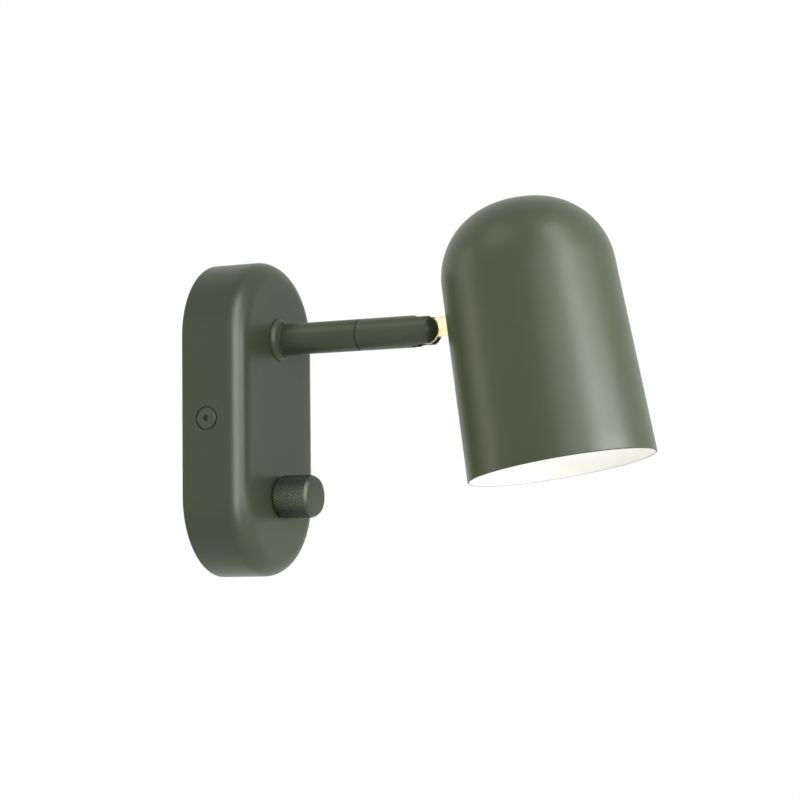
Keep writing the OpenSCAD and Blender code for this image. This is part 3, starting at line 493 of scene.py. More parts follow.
def carved(item: Piece, cuts: Sequence[Cut], edge: float, name: str, least_turn: float = 30.0) -> Piece:
    """Cuts a blank, breaks its sharp edges and returns the plain result.

    Args:
        item: The blank.
        cuts: The cuts in order.
        edge: Width of the broken edges.
        name: Name of the result.
        least_turn: Edges that turn by more than this many degrees are broken.

    Returns:
        The plain piece.
    """
    tools = [add_mesh(f"{name}_tool_{number}", cut.tool, place=cut.place) for number, cut in enumerate(cuts)]
    for cut, tool in zip(cuts, tools):
        cutter = item.modifiers.new(tool.name, "BOOLEAN")
        cutter.operation, cutter.solver, cutter.object = cut.operation, "EXACT", tool
    broken = item.modifiers.new("broken_edge", "BEVEL")
    broken.width, broken.segments, broken.limit_method = edge, 2, "ANGLE"
    broken.angle_limit = math.radians(least_turn)
    broken.harden_normals = True
    result = plain_copy(item, name)
    for tool in tools:
        bpy.data.objects.remove(tool)
    return result


def seat(item: Piece, node: str, stands: bool = True) -> None:
    """Gives a piece the body of the CAD node that it dresses, and hides the node where the piece stands for
    it.

    Args:
        item: The piece.
        node: The CAD node.
        stands: Whether the piece stands for the node.
    """
    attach(item, BODY_OF[node])
    if stands:
        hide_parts(node)
    LOG.info("piece %s on %s, %d faces", item.name, BODY_OF[node], len(item.data.polygons))


def turn_piece(name: str, node: str, profile: Profile, place: Matrix, finish: Finishes, sides: int = 128,
               closed: bool = False) -> None:
    """Turns a piece about the Z axis of its placement and seats it on its CAD node's body."""
    seat(add_mesh(name, revolved(profile, sides, closed), [finish], place), node)


def cad_copy(node: str) -> Work:
    """Copies a CAD node's mesh, with its points merged and one material.

    Args:
        node: The CAD node.

    Returns:
        The filled mesh.
    """
    work = bmesh.new()
    work.from_mesh(frame["nodes"][node].data)
    bmesh.ops.remove_doubles(work, verts=work.verts, dist=SAME_COPIED_POINT)
    for face in work.faces:
        face.material_index = 0
    return work


# Sub-assemblies


@dataclass(frozen=True)
class SocketScrew:
    """Low flat screw head with a hexagon socket and a plain shank."""

    head_radius: float
    head_height: float
    socket: float
    shank_radius: float
    shank_length: float
    tip_chamfer: float = 0.3 * MM
    mouth_flare: float = 0.2 * MM
    sides: int = 96

    def _hexagon(self, turn: float) -> float:
        """Distance of the socket's wall at an angle."""
        step = math.radians(60)
        return self.socket / 2 / math.cos((turn % step) - step / 2)

    def _stations(self) -> list[tuple[float, float, bool]]:
        """Rings from the shank's tip over the head into the socket.

        Returns:
            For each ring its radius, its height, and whether the radius is added to the hexagon's.
        """
        h, r, tip = self.head_height, self.head_radius, -self.shank_length
        head = eased([(self.shank_radius, 0, 0), (r, 0, 0.1 * MM), (r, h * 0.62, 0.3 * MM),
                      (r - h * 0.38, h, 0.25 * MM), (self.socket * 0.75, h, 0)], 5)
        shank = [(self.shank_radius - self.tip_chamfer, tip), (self.shank_radius, tip + self.tip_chamfer)]
        mouth = [(self.mouth_flare, h), (0.3 * self.mouth_flare, h - 0.3 * self.mouth_flare),
                 (0.0, h - self.mouth_flare), (0.0, -h * 0.6)]
        return [(x, z, False) for x, z in (*shank, *head)] + [(x, z, True) for x, z in mouth]

    def fill(self, work: Work, place: Matrix) -> None:
        """Adds one screw whose head stands on z = 0.

        Args:
            work: The mesh.
            place: Placement of the screw.
        """
        turns = [2 * math.pi * k / self.sides for k in range(self.sides)]
        rings = [[work.verts.new(place @ Vector((0, 0, -self.shank_length)))] * self.sides]
        for radius, height, hexagonal in self._stations():
            reaches = [radius + self._hexagon(t) if hexagonal else radius for t in turns]
            rings.append([work.verts.new(place @ Vector((reach * math.cos(t), reach * math.sin(t), height)))
                          for reach, t in zip(reaches, turns)])
        for low, high in zip(rings, rings[1:]):
            join_rings(work, low, high)
        work.faces.new(rings[-1])


@dataclass
class WallHousing:
    """Stadium-shaped housing with a round front edge, and its two side screws."""

    edge_radius: float = 10 * MM
    sheet: float = 1.5 * MM
    rim_round: float = 0.25 * MM
    face_rings: tuple[float, float] = (26 * MM, 18 * MM)
    screw: SocketScrew = SocketScrew(head_radius=5.3 * MM, head_height=1.3 * MM, socket=3 * MM,
                                     shank_radius=2 * MM, shank_length=8 * MM)
    screw_height: float = -1.5 * MM
    screw_distance: float = 14 * MM
    screw_floor: float = 0.5 * MM
    free_ring: float = 0.75 * MM
    arc_sides: int = 96
    edge_steps: int = 20

    def __post_init__(self) -> None:
        """Reads the outer sizes from the frame."""
        low, high = (Vector(corner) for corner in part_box("housing"))
        extent = high - low
        self.half_width = extent.x / 2
        self.run = extent.z / 2 - self.half_width
        self.depth = extent.y

    def _stadium(self, inset: float) -> Profile:
        """Outline of the housing's front, a distance inside the outer one."""
        radius = max(self.half_width - inset, 0.0)
        return [*arc((0.0, self.run), radius, 0, 180, self.arc_sides),
                *arc((0.0, -self.run), radius, 180, 360, self.arc_sides)]

    def _shell(self, work: Work) -> None:
        """Fills the mesh from the inside of the front, round the open edge, to the front.

        Args:
            work: The mesh.
        """
        r, t, d, lip = self.edge_radius, self.sheet, self.depth, self.rim_round
        face = (self.half_width, *self.face_rings)
        path = [*((inset, d - t) for inset in face), *arc((r, d - r), r - t, 90, 180, self.edge_steps),
                (t, lip), (t - lip, 0.0), (lip, 0.0), (0.0, lip),
                *arc((r, d - r), r, 180, 90, self.edge_steps), *((inset, d) for inset in reversed(face))]
        rings = [[work.verts.new((*spot, distance)) for spot in self._stadium(inset)]
                 for inset, distance in path]
        for low, high in zip(rings, rings[1:]):
            join_rings(work, low, high)
        bmesh.ops.remove_doubles(work, verts=work.verts, dist=SAME_POINT)
        bmesh.ops.dissolve_degenerate(work, dist=SAME_POINT, edges=work.edges)

    def _screw_places(self) -> list[Matrix]:
        """Placements of both side screws, on the floors of their recesses."""
        floor = self.half_width - self.sheet + self.screw_floor
        return [Matrix.Translation((side * floor, -self.screw_distance, self.screw_height))
                @ (SIDEWAYS if side > 0 else SIDEWAYS.inverted()) for side in (1, -1)]

    def build(self) -> None:
        """Makes the housing and both screws."""
        blank = add_mesh("housing_blank", self._shell, [Finishes.OLIVE], off_wall(0.0, 0.0))
        recess = rod(self.screw.head_radius + self.free_ring, 0.0, 2 * self.sheet)
        places = self._screw_places()
        shell = carved(blank, [Cut(recess, place) for place in places], 0.15 * MM, "housing_shell")
        seat(shell, "housing")
        work = bmesh.new()
        for place in places:
            self.screw.fill(work, place)
        seat(add_mesh("side_screw_pair", work, [Finishes.OLIVE]), "side_screws")


@dataclass
class SwingArm:
    """Round arm in two halves, with its ferrule, its fork and the pivot screw."""

    radius: float = 8 * MM
    wall: float = 1.5 * MM
    height: float = 40 * MM
    root: float = 34 * MM
    seam_at: float = 80.5 * MM
    seam: float = 0.3 * MM
    chamfer: float = 0.25 * MM
    pivot_at: float = 116.6 * MM
    fork_radius: float = 7.5 * MM
    cheek_half: float = 6.8 * MM
    end_ball: float = 9 * MM
    fork_slot: float = 5.2 * MM
    cheek_run: float = 3.6 * MM
    bevel_run: float = 1.3 * MM
    slot_floor: float = 109.4 * MM
    wire_bore: float = 3 * MM
    pin_hole: float = 2.03 * MM
    pin_blind: float = 6 * MM
    sink_radius: float = 3.7 * MM
    sink_floor: float = 4.6 * MM
    screw: SocketScrew = SocketScrew(head_radius=3.5 * MM, head_height=2.4 * MM, socket=2.5 * MM,
                                     shank_radius=2 * MM, shank_length=10.2 * MM)
    ferrule_radius: float = 10.75 * MM
    ferrule_height: float = 4.2 * MM
    ferrule_edge: float = 0.8 * MM
    ferrule_lip: float = 0.5 * MM
    ferrule_break: float = 0.12 * MM
    fit: float = 0.03 * MM
    sides: int = 192

    def __post_init__(self) -> None:
        """Sets the placements of the arm's root and of the pivot."""
        self.root_place = off_wall(self.root, self.height)
        self.pivot_place = Matrix.Translation((0.0, -self.pivot_at, self.height)) @ SIDEWAYS

    def build(self) -> None:
        """Makes the arm's visible pieces."""
        self._ferrule()
        self._tube()
        self._sleeve()
        self._pivot_screw()

    def _turned(self, name: str, node: str, outline: Profile) -> None:
        """Turns a hollow piece on the arm's root and seats it."""
        turn_piece(name, node, outline, self.root_place, Finishes.OLIVE, self.sides, closed=True)

    def _ferrule(self) -> None:
        """Turns the ferrule with its hollow sweep."""
        bore, outer, top = self.radius + self.fit, self.ferrule_radius, self.ferrule_height
        edge, b = self.ferrule_edge, self.ferrule_break
        width, rise = outer - bore - self.ferrule_lip, top - edge
        sweep = (width ** 2 + rise ** 2) / (2 * width)
        lean = math.degrees(math.asin(rise / sweep))
        hollow = arc((outer - width + sweep, top), sweep, 180 + lean, 180, 28)
        self._turned("ferrule_turned", "arm_ferrule", [
            (bore, 0.0), (outer - b, 0.0), (outer, b), (outer, edge - b), (outer - 0.3 * b, edge - 0.3 * b),
            *hollow[1:-1], (outer - width + 0.01 * MM, top - 0.1 * MM), (outer - width - 0.1 * MM, top),
            (bore, top)])

    def _tube(self) -> None:
        """Makes the fixed half of the arm."""
        bore, r, c = self.radius - self.wall, self.radius, self.chamfer
        end = self.seam_at - self.seam / 2 - self.root
        self._turned("fixed_tube", "arm_tube", [
            (bore, 0.0), (r, 0.0), (r, end - c), (r - c * 0.3, end - c * 0.3), (r - c, end), (bore, end)])

    def _side_outline(self, start: float) -> Profile:
        """Side outline of the sleeve, with the two flats and the round end of the fork.

        Args:
            start: Distance of the sleeve's rear end from the wall.

        Returns:
            Points of (depth, height).
        """
        end, low, reach = self.pivot_at, self.cheek_half, 2 * self.radius
        flat, rear = self.cheek_run - end, MM - start
        bevel = flat + self.bevel_run
        lean = math.degrees(math.asin(low / self.fork_radius))
        tip = arc((-end, 0.0), self.fork_radius, lean - 180, -180 - lean, 72)
        upper = [(flat, low), (bevel, self.radius), (bevel, reach), (rear, reach)]
        lower = [(y, -z) for y, z in reversed(upper)]
        return [(y, z + self.height) for y, z in (*lower, *tip, *upper)]

    def _sleeve(self) -> None:
        """Turns the swivelling half of the arm and mills it to its fork."""
        r, c, reach, start = self.radius, self.chamfer, 2 * self.radius, self.seam_at + self.seam / 2
        length = self.pivot_at + self.fork_radius - start
        centre = length - math.sqrt(self.end_ball ** 2 - (self.fork_slot / 2) ** 2)
        front = arc((0.0, centre), self.end_ball, math.degrees(math.acos(r / self.end_ball)), 90, 40)
        turned = revolved([(0.0, 0.0), (r - c, 0.0), (r, c), *front], self.sides, closed=False)
        place = off_wall(start, self.height)
        low, high = self.height - reach, self.height + reach
        near, far = -self.slot_floor, -(self.pivot_at + 1.5 * reach)
        slot = prism([(far, low), (near, low), (near, high), (far, high)], self.fork_slot / 2)
        sleeve = carved(add_mesh("sleeve_blank", turned, [Finishes.OLIVE], place), [
            Cut(prism(self._side_outline(start), reach), operation="INTERSECT"), Cut(slot),
            Cut(rod(self.wire_bore, -2 * MM, length), place),
            Cut(rod(self.pin_hole, -self.pin_blind, reach), self.pivot_place),
            Cut(rod(self.sink_radius, self.sink_floor, reach), self.pivot_place)],
            0.18 * MM, "swivel_sleeve", least_turn=15.0)
        seat(sleeve, "arm_sleeve")

    def _pivot_screw(self) -> None:
        """Makes the screw that holds the knuckle, its head sunk in one cheek."""
        work = bmesh.new()
        self.screw.fill(work, self.pivot_place @ Matrix.Translation((0.0, 0.0, self.sink_floor)))
        seat(add_mesh("pivot_screw_turned", work, [Finishes.ZINC]), "pivot_screw")


@dataclass
class DimmerKnob:
    """Turned knob with a diamond knurl of four-sided points, made by rule from its pitch and depth."""

    radius: float = 11 * MM
    length: float = 19.5 * MM
    back: float = 34.5 * MM
    height: float = -40 * MM
    chamfer_run: float = 1.4 * MM
    chamfer_step: float = 1.0 * MM
    back_edge: float = 0.6 * MM
    depth: float = 0.6 * MM
    point_slope: float = 1.7
    point_top: float = 0.9
    end_slope: float = 2.2
    points_round: int = 42
    points_along: int = 6
    samples: int = 12
    skin_lap: float = 0.05 * MM
    recess_radius: float = 7.5 * MM
    recess_depth: float = 5.5 * MM
    bore_radius: float = 5.03 * MM
    bore_depth: float = 16.53 * MM

    def build(self) -> None:
        """Makes the knurled skin and the turned blank as one piece."""
        skin = self._knurled_skin()
        work = bmesh.new()
        work.from_mesh(skin.data)
        bmesh.ops.remove_doubles(work, verts=work.verts, dist=SAME_COPIED_POINT)
        bpy.data.objects.remove(skin)
        for face in work.faces:
            face.tag = True
        revolved(self._blank_outline(), 192)(work)
        for face in work.faces:
            face.material_index = 0 if face.tag else 1
        work.transform(off_wall(self.back, self.height))
        item = add_mesh("knurled_knob", work, [Finishes.OLIVE_KNOB, Finishes.OLIVE], sharp=50.0)
        seat(item, "knob")

    def _blank_outline(self) -> Profile:
        """Outline of the blank under the knurl, with its back recess and insert bore.

        Returns:
            Points of (radius, height).
        """
        valley, end = self.radius - self.depth, self.length
        first, last = self.back_edge, end - self.chamfer_run
        rim = eased([(valley, last, 0), (valley - self.chamfer_step, end, 0.15 * MM), (0.0, end, 0)], 4)
        under, step = valley - self.skin_lap, 0.4 * self.skin_lap
        return [(self.recess_radius, 0.0), (valley - self.back_edge / 2, 0.0), (valley, first),
                (under, first + step), (under, last - step), *rim[:-1], (0.1 * MM, end), (0.0, end),
                (0.0, self.bore_depth), (self.bore_radius, self.bore_depth),
                (self.bore_radius, self.recess_depth), (self.recess_radius, self.recess_depth)]

    def _knurled_skin(self) -> Piece:
        """Grows the knurl on a wrapped grid and returns it as a plain mesh.

        Returns:
            The skin.
        """
        sizes = {"Radius": self.radius, "Depth": self.depth, "Start": self.back_edge,
                 "End": self.length - self.chamfer_run, "Points round": self.points_round,
                 "Points along": self.points_along, "Samples": self.samples}
        tree = bpy.data.node_groups.new("diamond_knurl", "GeometryNodeTree")
        inputs = {}
        for name, value in sizes.items():
            kind = "NodeSocketInt" if isinstance(value, int) else "NodeSocketFloat"
            inputs[name] = tree.interface.new_socket(name, in_out="INPUT", socket_type=kind).identifier
        tree.interface.new_socket("Geometry", in_out="OUTPUT", socket_type="NodeSocketGeometry")
        self._lay_knurl(NodeBench(tree))
        holder = place_object("knurl_grid", bpy.data.meshes.new("knurl_grid"))
        grower = holder.modifiers.new("knurl", "NODES")
        grower.node_group = tree
        for name, value in sizes.items():
            grower[inputs[name]] = value
        return plain_copy(holder, "knurl_skin")

    def _lay_knurl(self, bench: NodeBench) -> None:
        """Lays the nodes that wrap a grid round the knob and sink it between the points.

        Args:
            bench: The tree's node bench.
        """
        plus, minus, times, least = (
            partial(bench.maths, operation) for operation in ("ADD", "SUBTRACT", "MULTIPLY", "MINIMUM"))
        given = bench.add("NodeGroupInput").outputs
        columns, rows = given["Points round"], given["Points along"]
        grid = bench.add("GeometryNodeMeshGrid", {
            "Size X": 1.0, "Size Y": 1.0, "Vertices X": plus(times(columns, given["Samples"]), 1.0),
            "Vertices Y": plus(times(rows, given["Samples"]), 1.0)})
        position = bench.add("GeometryNodeInputPosition").outputs["Position"]
        spot = bench.add("ShaderNodeSeparateXYZ", {"Vector": position}).outputs
        around, along = plus(spot["X"], 0.5), plus(spot["Y"], 0.5)
        p, q = times(around, columns), times(along, rows)
        flank = least(*(bench.maths("PINGPONG", side, 0.5) for side in (plus(p, q), minus(p, q))))
        crest = least(times(flank, self.point_slope), self.point_top)
        fade = least(q, minus(rows, q))
        sunken = minus(1.0, least(crest, times(fade, self.end_slope)))
        reach = minus(given["Radius"], times(given["Depth"], sunken))
        turn = times(around, 2 * math.pi)
        height = plus(given["Start"], times(along, minus(given["End"], given["Start"])))
        place = bench.add("ShaderNodeCombineXYZ", {
            "X": times(reach, bench.maths("COSINE", turn)), "Y": times(reach, bench.maths("SINE", turn)),
            "Z": height}).outputs["Vector"]
        # The stored depth also drives the painted shade in the knurl's valleys
        shape = grid.outputs["Mesh"]
        for kind, inputs in (("GeometryNodeSetPosition", {"Position": place}),
                             ("GeometryNodeStoreNamedAttribute", {"Name": "sunken", "Value": sunken}),
                             ("GeometryNodeRealizeInstances", {}),
                             ("GeometryNodeSetMaterial", {"Material": Finishes.OLIVE_KNOB.value.build()})):
            shape = bench.add(kind, {"Geometry": shape, **inputs}).outputs["Geometry"]
        bench.add("NodeGroupOutput", {"Geometry": shape})


@dataclass
class LampHead:
    """Tilting head: brass knuckle, spun shade, lampholder and bulb, given about the tilt axis."""

    arm: SwingArm = field(default_factory=SwingArm)
    tilt: float = 9.6
    axis_at: float = 58.368 * MM
    rim_below: float = 81.1 * MM
    rim_radius: float = 46 * MM
    shade_height: float = 133.2 * MM
    shade_sheet: float = 1 * MM
    taper: float = 2.0
    shoulder: float = 37.5 * MM
    crown: float = 58.3 * MM
    tongue_radius: float = 6.6 * MM
    tongue_half: float = 2.2 * MM
    tongue_pin: float = 2.05 * MM
    root_half: float = 4.5 * MM
    neck_start: float = 8.7 * MM
    neck_radius: float = 5.1 * MM
    collar_start: float = 14.3 * MM
    collar_radius: float = 5.7 * MM
    collar_sink: float = 0.55 * MM
    shade_reach: float = 15.2 * MM
    tail_radius: float = 5 * MM
    tail_bore: float = 3 * MM
    tail_tip: float = 4.3 * MM
    tail_end: float = 26.5 * MM
    thread_pitch: float = 1 * MM
    thread_depth: float = 0.3 * MM
    holder_radius: float = 14 * MM
    holder_neck: float = 8 * MM
    holder_top: float = 22 * MM
    holder_mouth: float = -16 * MM
    holder_wall: float = 2 * MM
    holder_room: float = 24 * MM
    grip_rings: int = 5
    grip_top: float = 20 * MM
    grip_pitch: float = 2 * MM
    grip_depth: float = 0.4 * MM
    bulb_inset: float = 5 * MM
    bulb_length: float = 56 * MM
    globe_radius: float = 22.5 * MM
    globe_mouth: float = 17 * MM
    glass: float = 1 * MM
    bulb_neck: float = 6.9 * MM

    def __post_init__(self) -> None:
        """Sets the head's placement and the axis of its shade."""
        pivot = Matrix.Translation((0.0, -self.arm.pivot_at, self.arm.height))
        self.pose = pivot @ Matrix.Rotation(math.radians(-self.tilt), 4, "X")
        self.lamp_axis = self.pose @ Matrix.Translation((0.0, -self.axis_at, 0.0))

    def build(self) -> None:
        """Makes the head's visible pieces."""
        self._tongue()
        self._neck()
        self._shade()
        self._holder()
        self._bulb()

    def _tongue(self) -> None:
        """Mills the flat tongue that lies in the fork."""
        half, r, root = self.root_half, self.tongue_radius, -(self.neck_start + MM)
        start = math.degrees(math.asin(half / r))
        outline = [(root, -half), *arc((0.0, 0.0), r, 180 + start, 540 - start, 96), (root, half)]
        blank = add_mesh("tongue_blank", prism(outline, self.tongue_half), [Finishes.BRASS], self.pose)
        pin = Cut(rod(self.tongue_pin, -2 * half, 2 * half), self.pose @ SIDEWAYS)
        seat(carved(blank, [pin], 0.3 * MM, "tongue"), "knuckle_tongue", stands=False)

    def _neck(self) -> None:
        """Turns the neck, the collar and the threaded tail."""
        r, flange, start, step = self.neck_radius, self.collar_radius, self.neck_start, self.collar_start
        seated = self.shade_reach + self.collar_sink
        neck = eased([(0.0, start, 0), (r, start, 0.35 * MM), (r, step, 0.1 * MM), (flange, step, 0.3 * MM),
                      (flange, seated, 0), (self.tail_radius, seated, 0)], 6)
        bore, end, floor = self.tail_bore, self.tail_end, step + MM
        outline = [*neck, *self._thread(), (self.tail_tip, end), (bore, end), (bore, floor), (0.0, floor)]
        turn_piece("neck_and_tail", "knuckle_tongue", outline, self.pose @ off_wall(0.0, 0.0), Finishes.BRASS)

    def _thread(self) -> Profile:
        """Outline of the tail's thread, as close rings.

        Returns:
            Points of (radius, height).
        """
        start, end = self.shade_reach + MM, self.tail_end - 0.6 * MM
        turns = int((end - start) / self.thread_pitch)
        step, root = (end - start) / turns, self.tail_radius - self.thread_depth
        out: Profile = []
        for z in (start + k * step for k in range(turns)):
            out += [(root, z), (self.tail_radius, z + 0.4 * step), (self.tail_radius, z + 0.6 * step)]
        return [*out, (root, end)]

    def _dome(self, sheet: float) -> Profile:
        """Outline from the rim to the top, side, shoulder and crown running into one another.

        Args:
            sheet: Distance of the outline inside the shade's outer face.

        Returns:
            Points of (radius, height over the rim).
        """
        lean = math.radians(self.taper)
        radius, height = self.rim_radius - sheet / math.cos(lean), self.shade_height - sheet
        shoulder, crown, slope = self.shoulder - sheet, self.crown - sheet, math.tan(lean)
        crown_z, base = height - crown, radius - shoulder / math.cos(lean)
        a, b = 1 + slope ** 2, crown_z + base * slope
        c = crown_z ** 2 + base ** 2 - (crown - shoulder) ** 2
        z = (b + math.sqrt(b * b - a * c)) / a
        x = base - z * slope
        turn = math.degrees(math.atan2(z - crown_z, x))
        side = [(radius, 0.0)] + [(radius - slope * t, t) for t in (0.01 * z * k for k in range(10, 100, 15))]
        top = arc((0.0, crown_z), crown, turn, 90, 24)[1:-1]
        return [*side, *arc((x, z), shoulder, self.taper, turn, 32), *top, (0.0, height)]

    def _shade(self) -> None:
        """Spins the shade: coated outside, white inside, with a rounded rim."""
        lip, rim_steps = self.shade_sheet / 2, 10
        outer, inner = self._dome(0.0), self._dome(self.shade_sheet)
        rim = arc((self.rim_radius - lip, lip), lip, 0, -180, rim_steps)
        white_from = len(outer) - 1 + rim_steps // 2
        recipe = revolved([*reversed(outer[1:]), *rim, *inner[1:]], 256, closed=False,
                          paint=lambda band: int(band >= white_from))
        place = self.lamp_axis @ Matrix.Translation((0.0, 0.0, -self.rim_below))
        item = add_mesh("spun_shade", recipe, [Finishes.OLIVE, Finishes.WHITE_COAT], place)
        seat(item, "shade")

    def _holder(self) -> None:
        """Moulds the lampholder with its neck, shoulder and grip rings."""
        top, mouth, r, neck = self.holder_top, self.holder_mouth, self.holder_radius, self.holder_neck
        inside, room, groove = r - self.holder_wall, mouth + self.holder_room, r - self.grip_depth
        rings: list[tuple[float, float, float]] = []
        for z in (mouth + self.grip_top - k * self.grip_pitch for k in range(self.grip_rings)):
            rings += [(r, z, 0.2 * MM), (groove, z - 0.3 * MM, 0.1 * MM), (groove, z - 0.8 * MM, 0.1 * MM),
                      (r, z - 1.1 * MM, 0.2 * MM)]
        outline = eased([(0.0, top, 0), (neck, top, 0.4 * MM), (neck, top - 4 * MM, 0.4 * MM),
                         (r, top - 9 * MM, 1 * MM), *rings, (r, mouth, 0.5 * MM), (inside, mouth, 0.5 * MM),
                         (inside, room, 0), (0.0, room, 0)], 4)
        turn_piece("moulded_lampholder", "lampholder", outline, self.lamp_axis, Finishes.WHITE_PLASTIC)

    def _bulb(self) -> None:
        """Blows the globe and moulds its collar."""
        outside, inside, mouth = self.globe_radius, self.globe_radius - self.glass, self.globe_mouth
        cap = self.holder_mouth + self.bulb_inset
        middle = cap - self.bulb_length + outside
        lean = math.degrees(math.acos(mouth / outside))
        globe = [(0.0, middle - outside), *arc((0.0, middle), outside, -90, lean, 64)[1:],
                 *reversed(arc((0.0, middle), inside, -90, lean - 1, 64)[1:]), (0.0, middle - inside)]
        turn_piece("opal_globe", "bulb_globe", globe, self.lamp_axis, Finishes.OPAL)
        seam, r, lap = middle + math.sqrt(outside ** 2 - mouth ** 2), self.bulb_neck, 0.6 * MM
        skirt = eased([(0.0, cap, 0), (r + lap, cap, 0.3 * MM), (r + 1.4 * MM, cap - 3 * MM, 3 * MM),
                       (mouth + lap, seam + MM, 0.3 * MM), (mouth + lap, seam, 0.2 * MM),
                       (mouth - 2 * MM, seam, 0), (mouth - 2 * MM, seam + MM, 0), (0.0, seam + MM, 0)], 5)
        turn_piece("bulb_neck", "bulb_collar", skirt, self.lamp_axis, Finishes.WHITE_PLASTIC)


class InnerPiece(Enum):
    """Inner pieces that keep their CAD form: node, finish and width of the broken edges in millimetres."""

    BRACKET = ("wall_bracket", Finishes.ZINC, 0.25)
    GROMMET = ("cable_grommet", Finishes.RUBBER, 0.4)
    TERMINALS = ("terminal_block", Finishes.WHITE_PLASTIC, 0.25)
    CLAMPS = ("clamp_screws", Finishes.BRASS, 0.12)
    EARTH_SCREW = ("earth_screw", Finishes.BRASS, 0.15)
    DIMMER = ("dimmer_case", Finishes.BLACK_PLASTIC, 0.4)
    DIMMER_WASHER = ("dimmer_washer", Finishes.ZINC, 0.1)
    DIMMER_NUT = ("dimmer_nut", Finishes.ZINC, 0.1)
    DIMMER_SHAFT = ("dimmer_shaft", Finishes.ZINC, 0.15)
    INSERT = ("knob_insert", Finishes.BRASS, 0.15)
    PLUG = ("arm_plug", Finishes.ZINC, 0.2)
    STUD = ("arm_stud", Finishes.ZINC, 0.2)
    ARM_WASHER = ("arm_washer", Finishes.ZINC, 0.15)
    ARM_NUT = ("arm_nut", Finishes.ZINC, 0.15)
    SPINDLE = ("swivel_spindle", Finishes.ZINC, 0.1)
    FRICTION_WASHER = ("friction_washer", Finishes.FIBRE, 0.0)
    RETAINING_RING = ("retaining_ring", Finishes.ZINC, 0.0)
    BUSH = ("swivel_bush", Finishes.BRASS, 0.1)
    DISCS = ("friction_discs", Finishes.FIBRE, 0.05)
    SADDLE = ("saddle_washer", Finishes.ZINC, 0.2)
    HOLDER_BRACKET = ("holder_bracket", Finishes.ZINC, 0.2)
    HEAD_NUTS = ("head_nuts", Finishes.ZINC, 0.2)
    NIPPLE = ("holder_nipple", Finishes.ZINC, 0.2)
    SCREW_SHELL = ("holder_shell", Finishes.BRASS, 0.0)
    CONTACT = ("centre_contact", Finishes.BRASS, 0.0)
    BULB_CAP = ("bulb_cap", Finishes.ZINC, 0.1)

    def build(self) -> None:
        """Makes the clean copy with broken edges that stands for the CAD form."""
        node, finish, edge = self.value
        work = cad_copy(node)
        bmesh.ops.dissolve_limit(work, angle_limit=math.radians(0.4), verts=work.verts, edges=work.edges)
        name = f"{node}_finished"
        blank = add_mesh(f"{node}_blank", work, [finish], sharp=30.0)
        seat(carved(blank, [], edge * MM, name) if edge else plain_copy(blank, name), node)


class Lead(Enum):
    """Internal leads: node and sheath."""

    SUPPLY = ("supply_leads", Finishes.WHITE_SHEATH)
    EARTH = ("earth_lead", Finishes.EARTH_SHEATH)
    BASE = ("base_flex", Finishes.BLACK_SHEATH)
    SLEEVE = ("sleeve_flex", Finishes.BLACK_SHEATH)
    HEAD = ("head_flex", Finishes.BLACK_SHEATH)

    def build(self) -> None:
        """Rounds the lead's sheath."""
        node, finish = self.value
        work = cad_copy(node)
        bmesh.ops.join_triangles(work, faces=work.faces, angle_face_threshold=math.radians(12),
                                 angle_shape_threshold=math.radians(60))
        item = add_mesh(f"{node}_core", work, [finish], sharp=70.0)
        rounder = item.modifiers.new("rounded", "SUBSURF")
        rounder.levels = rounder.render_levels = 1
        seat(plain_copy(item, f"{node}_sheath"), node)


# Studio


def facing(azimuth: float, elevation: float) -> Vector:
    """Direction from the object, by degrees round it, 0 in front of the wall, and above the horizon."""
    turn, rise = math.radians(azimuth), math.radians(elevation)
    return Vector((math.sin(turn) * math.cos(rise), -math.cos(turn) * math.cos(rise), math.sin(rise)))


@dataclass(frozen=True)
class SoftLight:
    """One area lamp, placed by its direction and distance from the object's middle.

    Attributes:
        name: Name of the light.
        azimuth: Degrees round the object, 0 in front of the wall.
        elevation: Degrees above the horizon.
        distance: Metres to the light's middle.
        width: Its width in metres.
        tall: Its height in metres.
        power: Its power in watts.
        tint: Its colour.
        matt: Whether it lights matt surfaces.
        sheen: Whether it shows in reflections.
        shines_on: Names of the only pieces that it lights, or none for all of them.
        spares: Names of the pieces that it doesn't light.
    """

    name: str
    azimuth: float
    elevation: float
    distance: float
    width: float
    tall: float
    power: float
    tint: Colour = (1.0, 1.0, 1.0)
    matt: bool = True
    sheen: bool = True
    shines_on: tuple[str, ...] = ()
    spares: tuple[str, ...] = ()

    def build(self, target: Vector) -> None:
        """Hangs the light and turns it towards the target.

        Args:
            target: Point that it faces.
        """
        back = facing(self.azimuth, self.elevation)
        lamp = bpy.data.lights.new(self.name, "AREA")
        lamp.shape, lamp.size, lamp.size_y, lamp.energy = "RECTANGLE", self.width, self.tall, self.power
        lamp.color = self.tint
        item = place_object(self.name, lamp)
        item.visible_camera, item.visible_diffuse, item.visible_glossy = False, self.matt, self.sheen
        if self.shines_on or self.spares:
            item.light_linking.receiver_collection = self._receivers()
        item.location = target + back * self.distance
        item.rotation_mode = "QUATERNION"
        item.rotation_quaternion = back.to_track_quat("Z", "Y")

    def _receivers(self) -> bpy.types.Collection:
        """Groups the pieces that the light falls on.

        Returns:
            The group.
        """
        group = bpy.data.collections.new(f"{self.name}_receivers")
        for piece in bpy.data.objects:
            chosen = piece.name in self.shines_on or not self.shines_on
            if piece.type == "MESH" and chosen and piece.name not in self.spares:
                group.objects.link(piece)
        return group


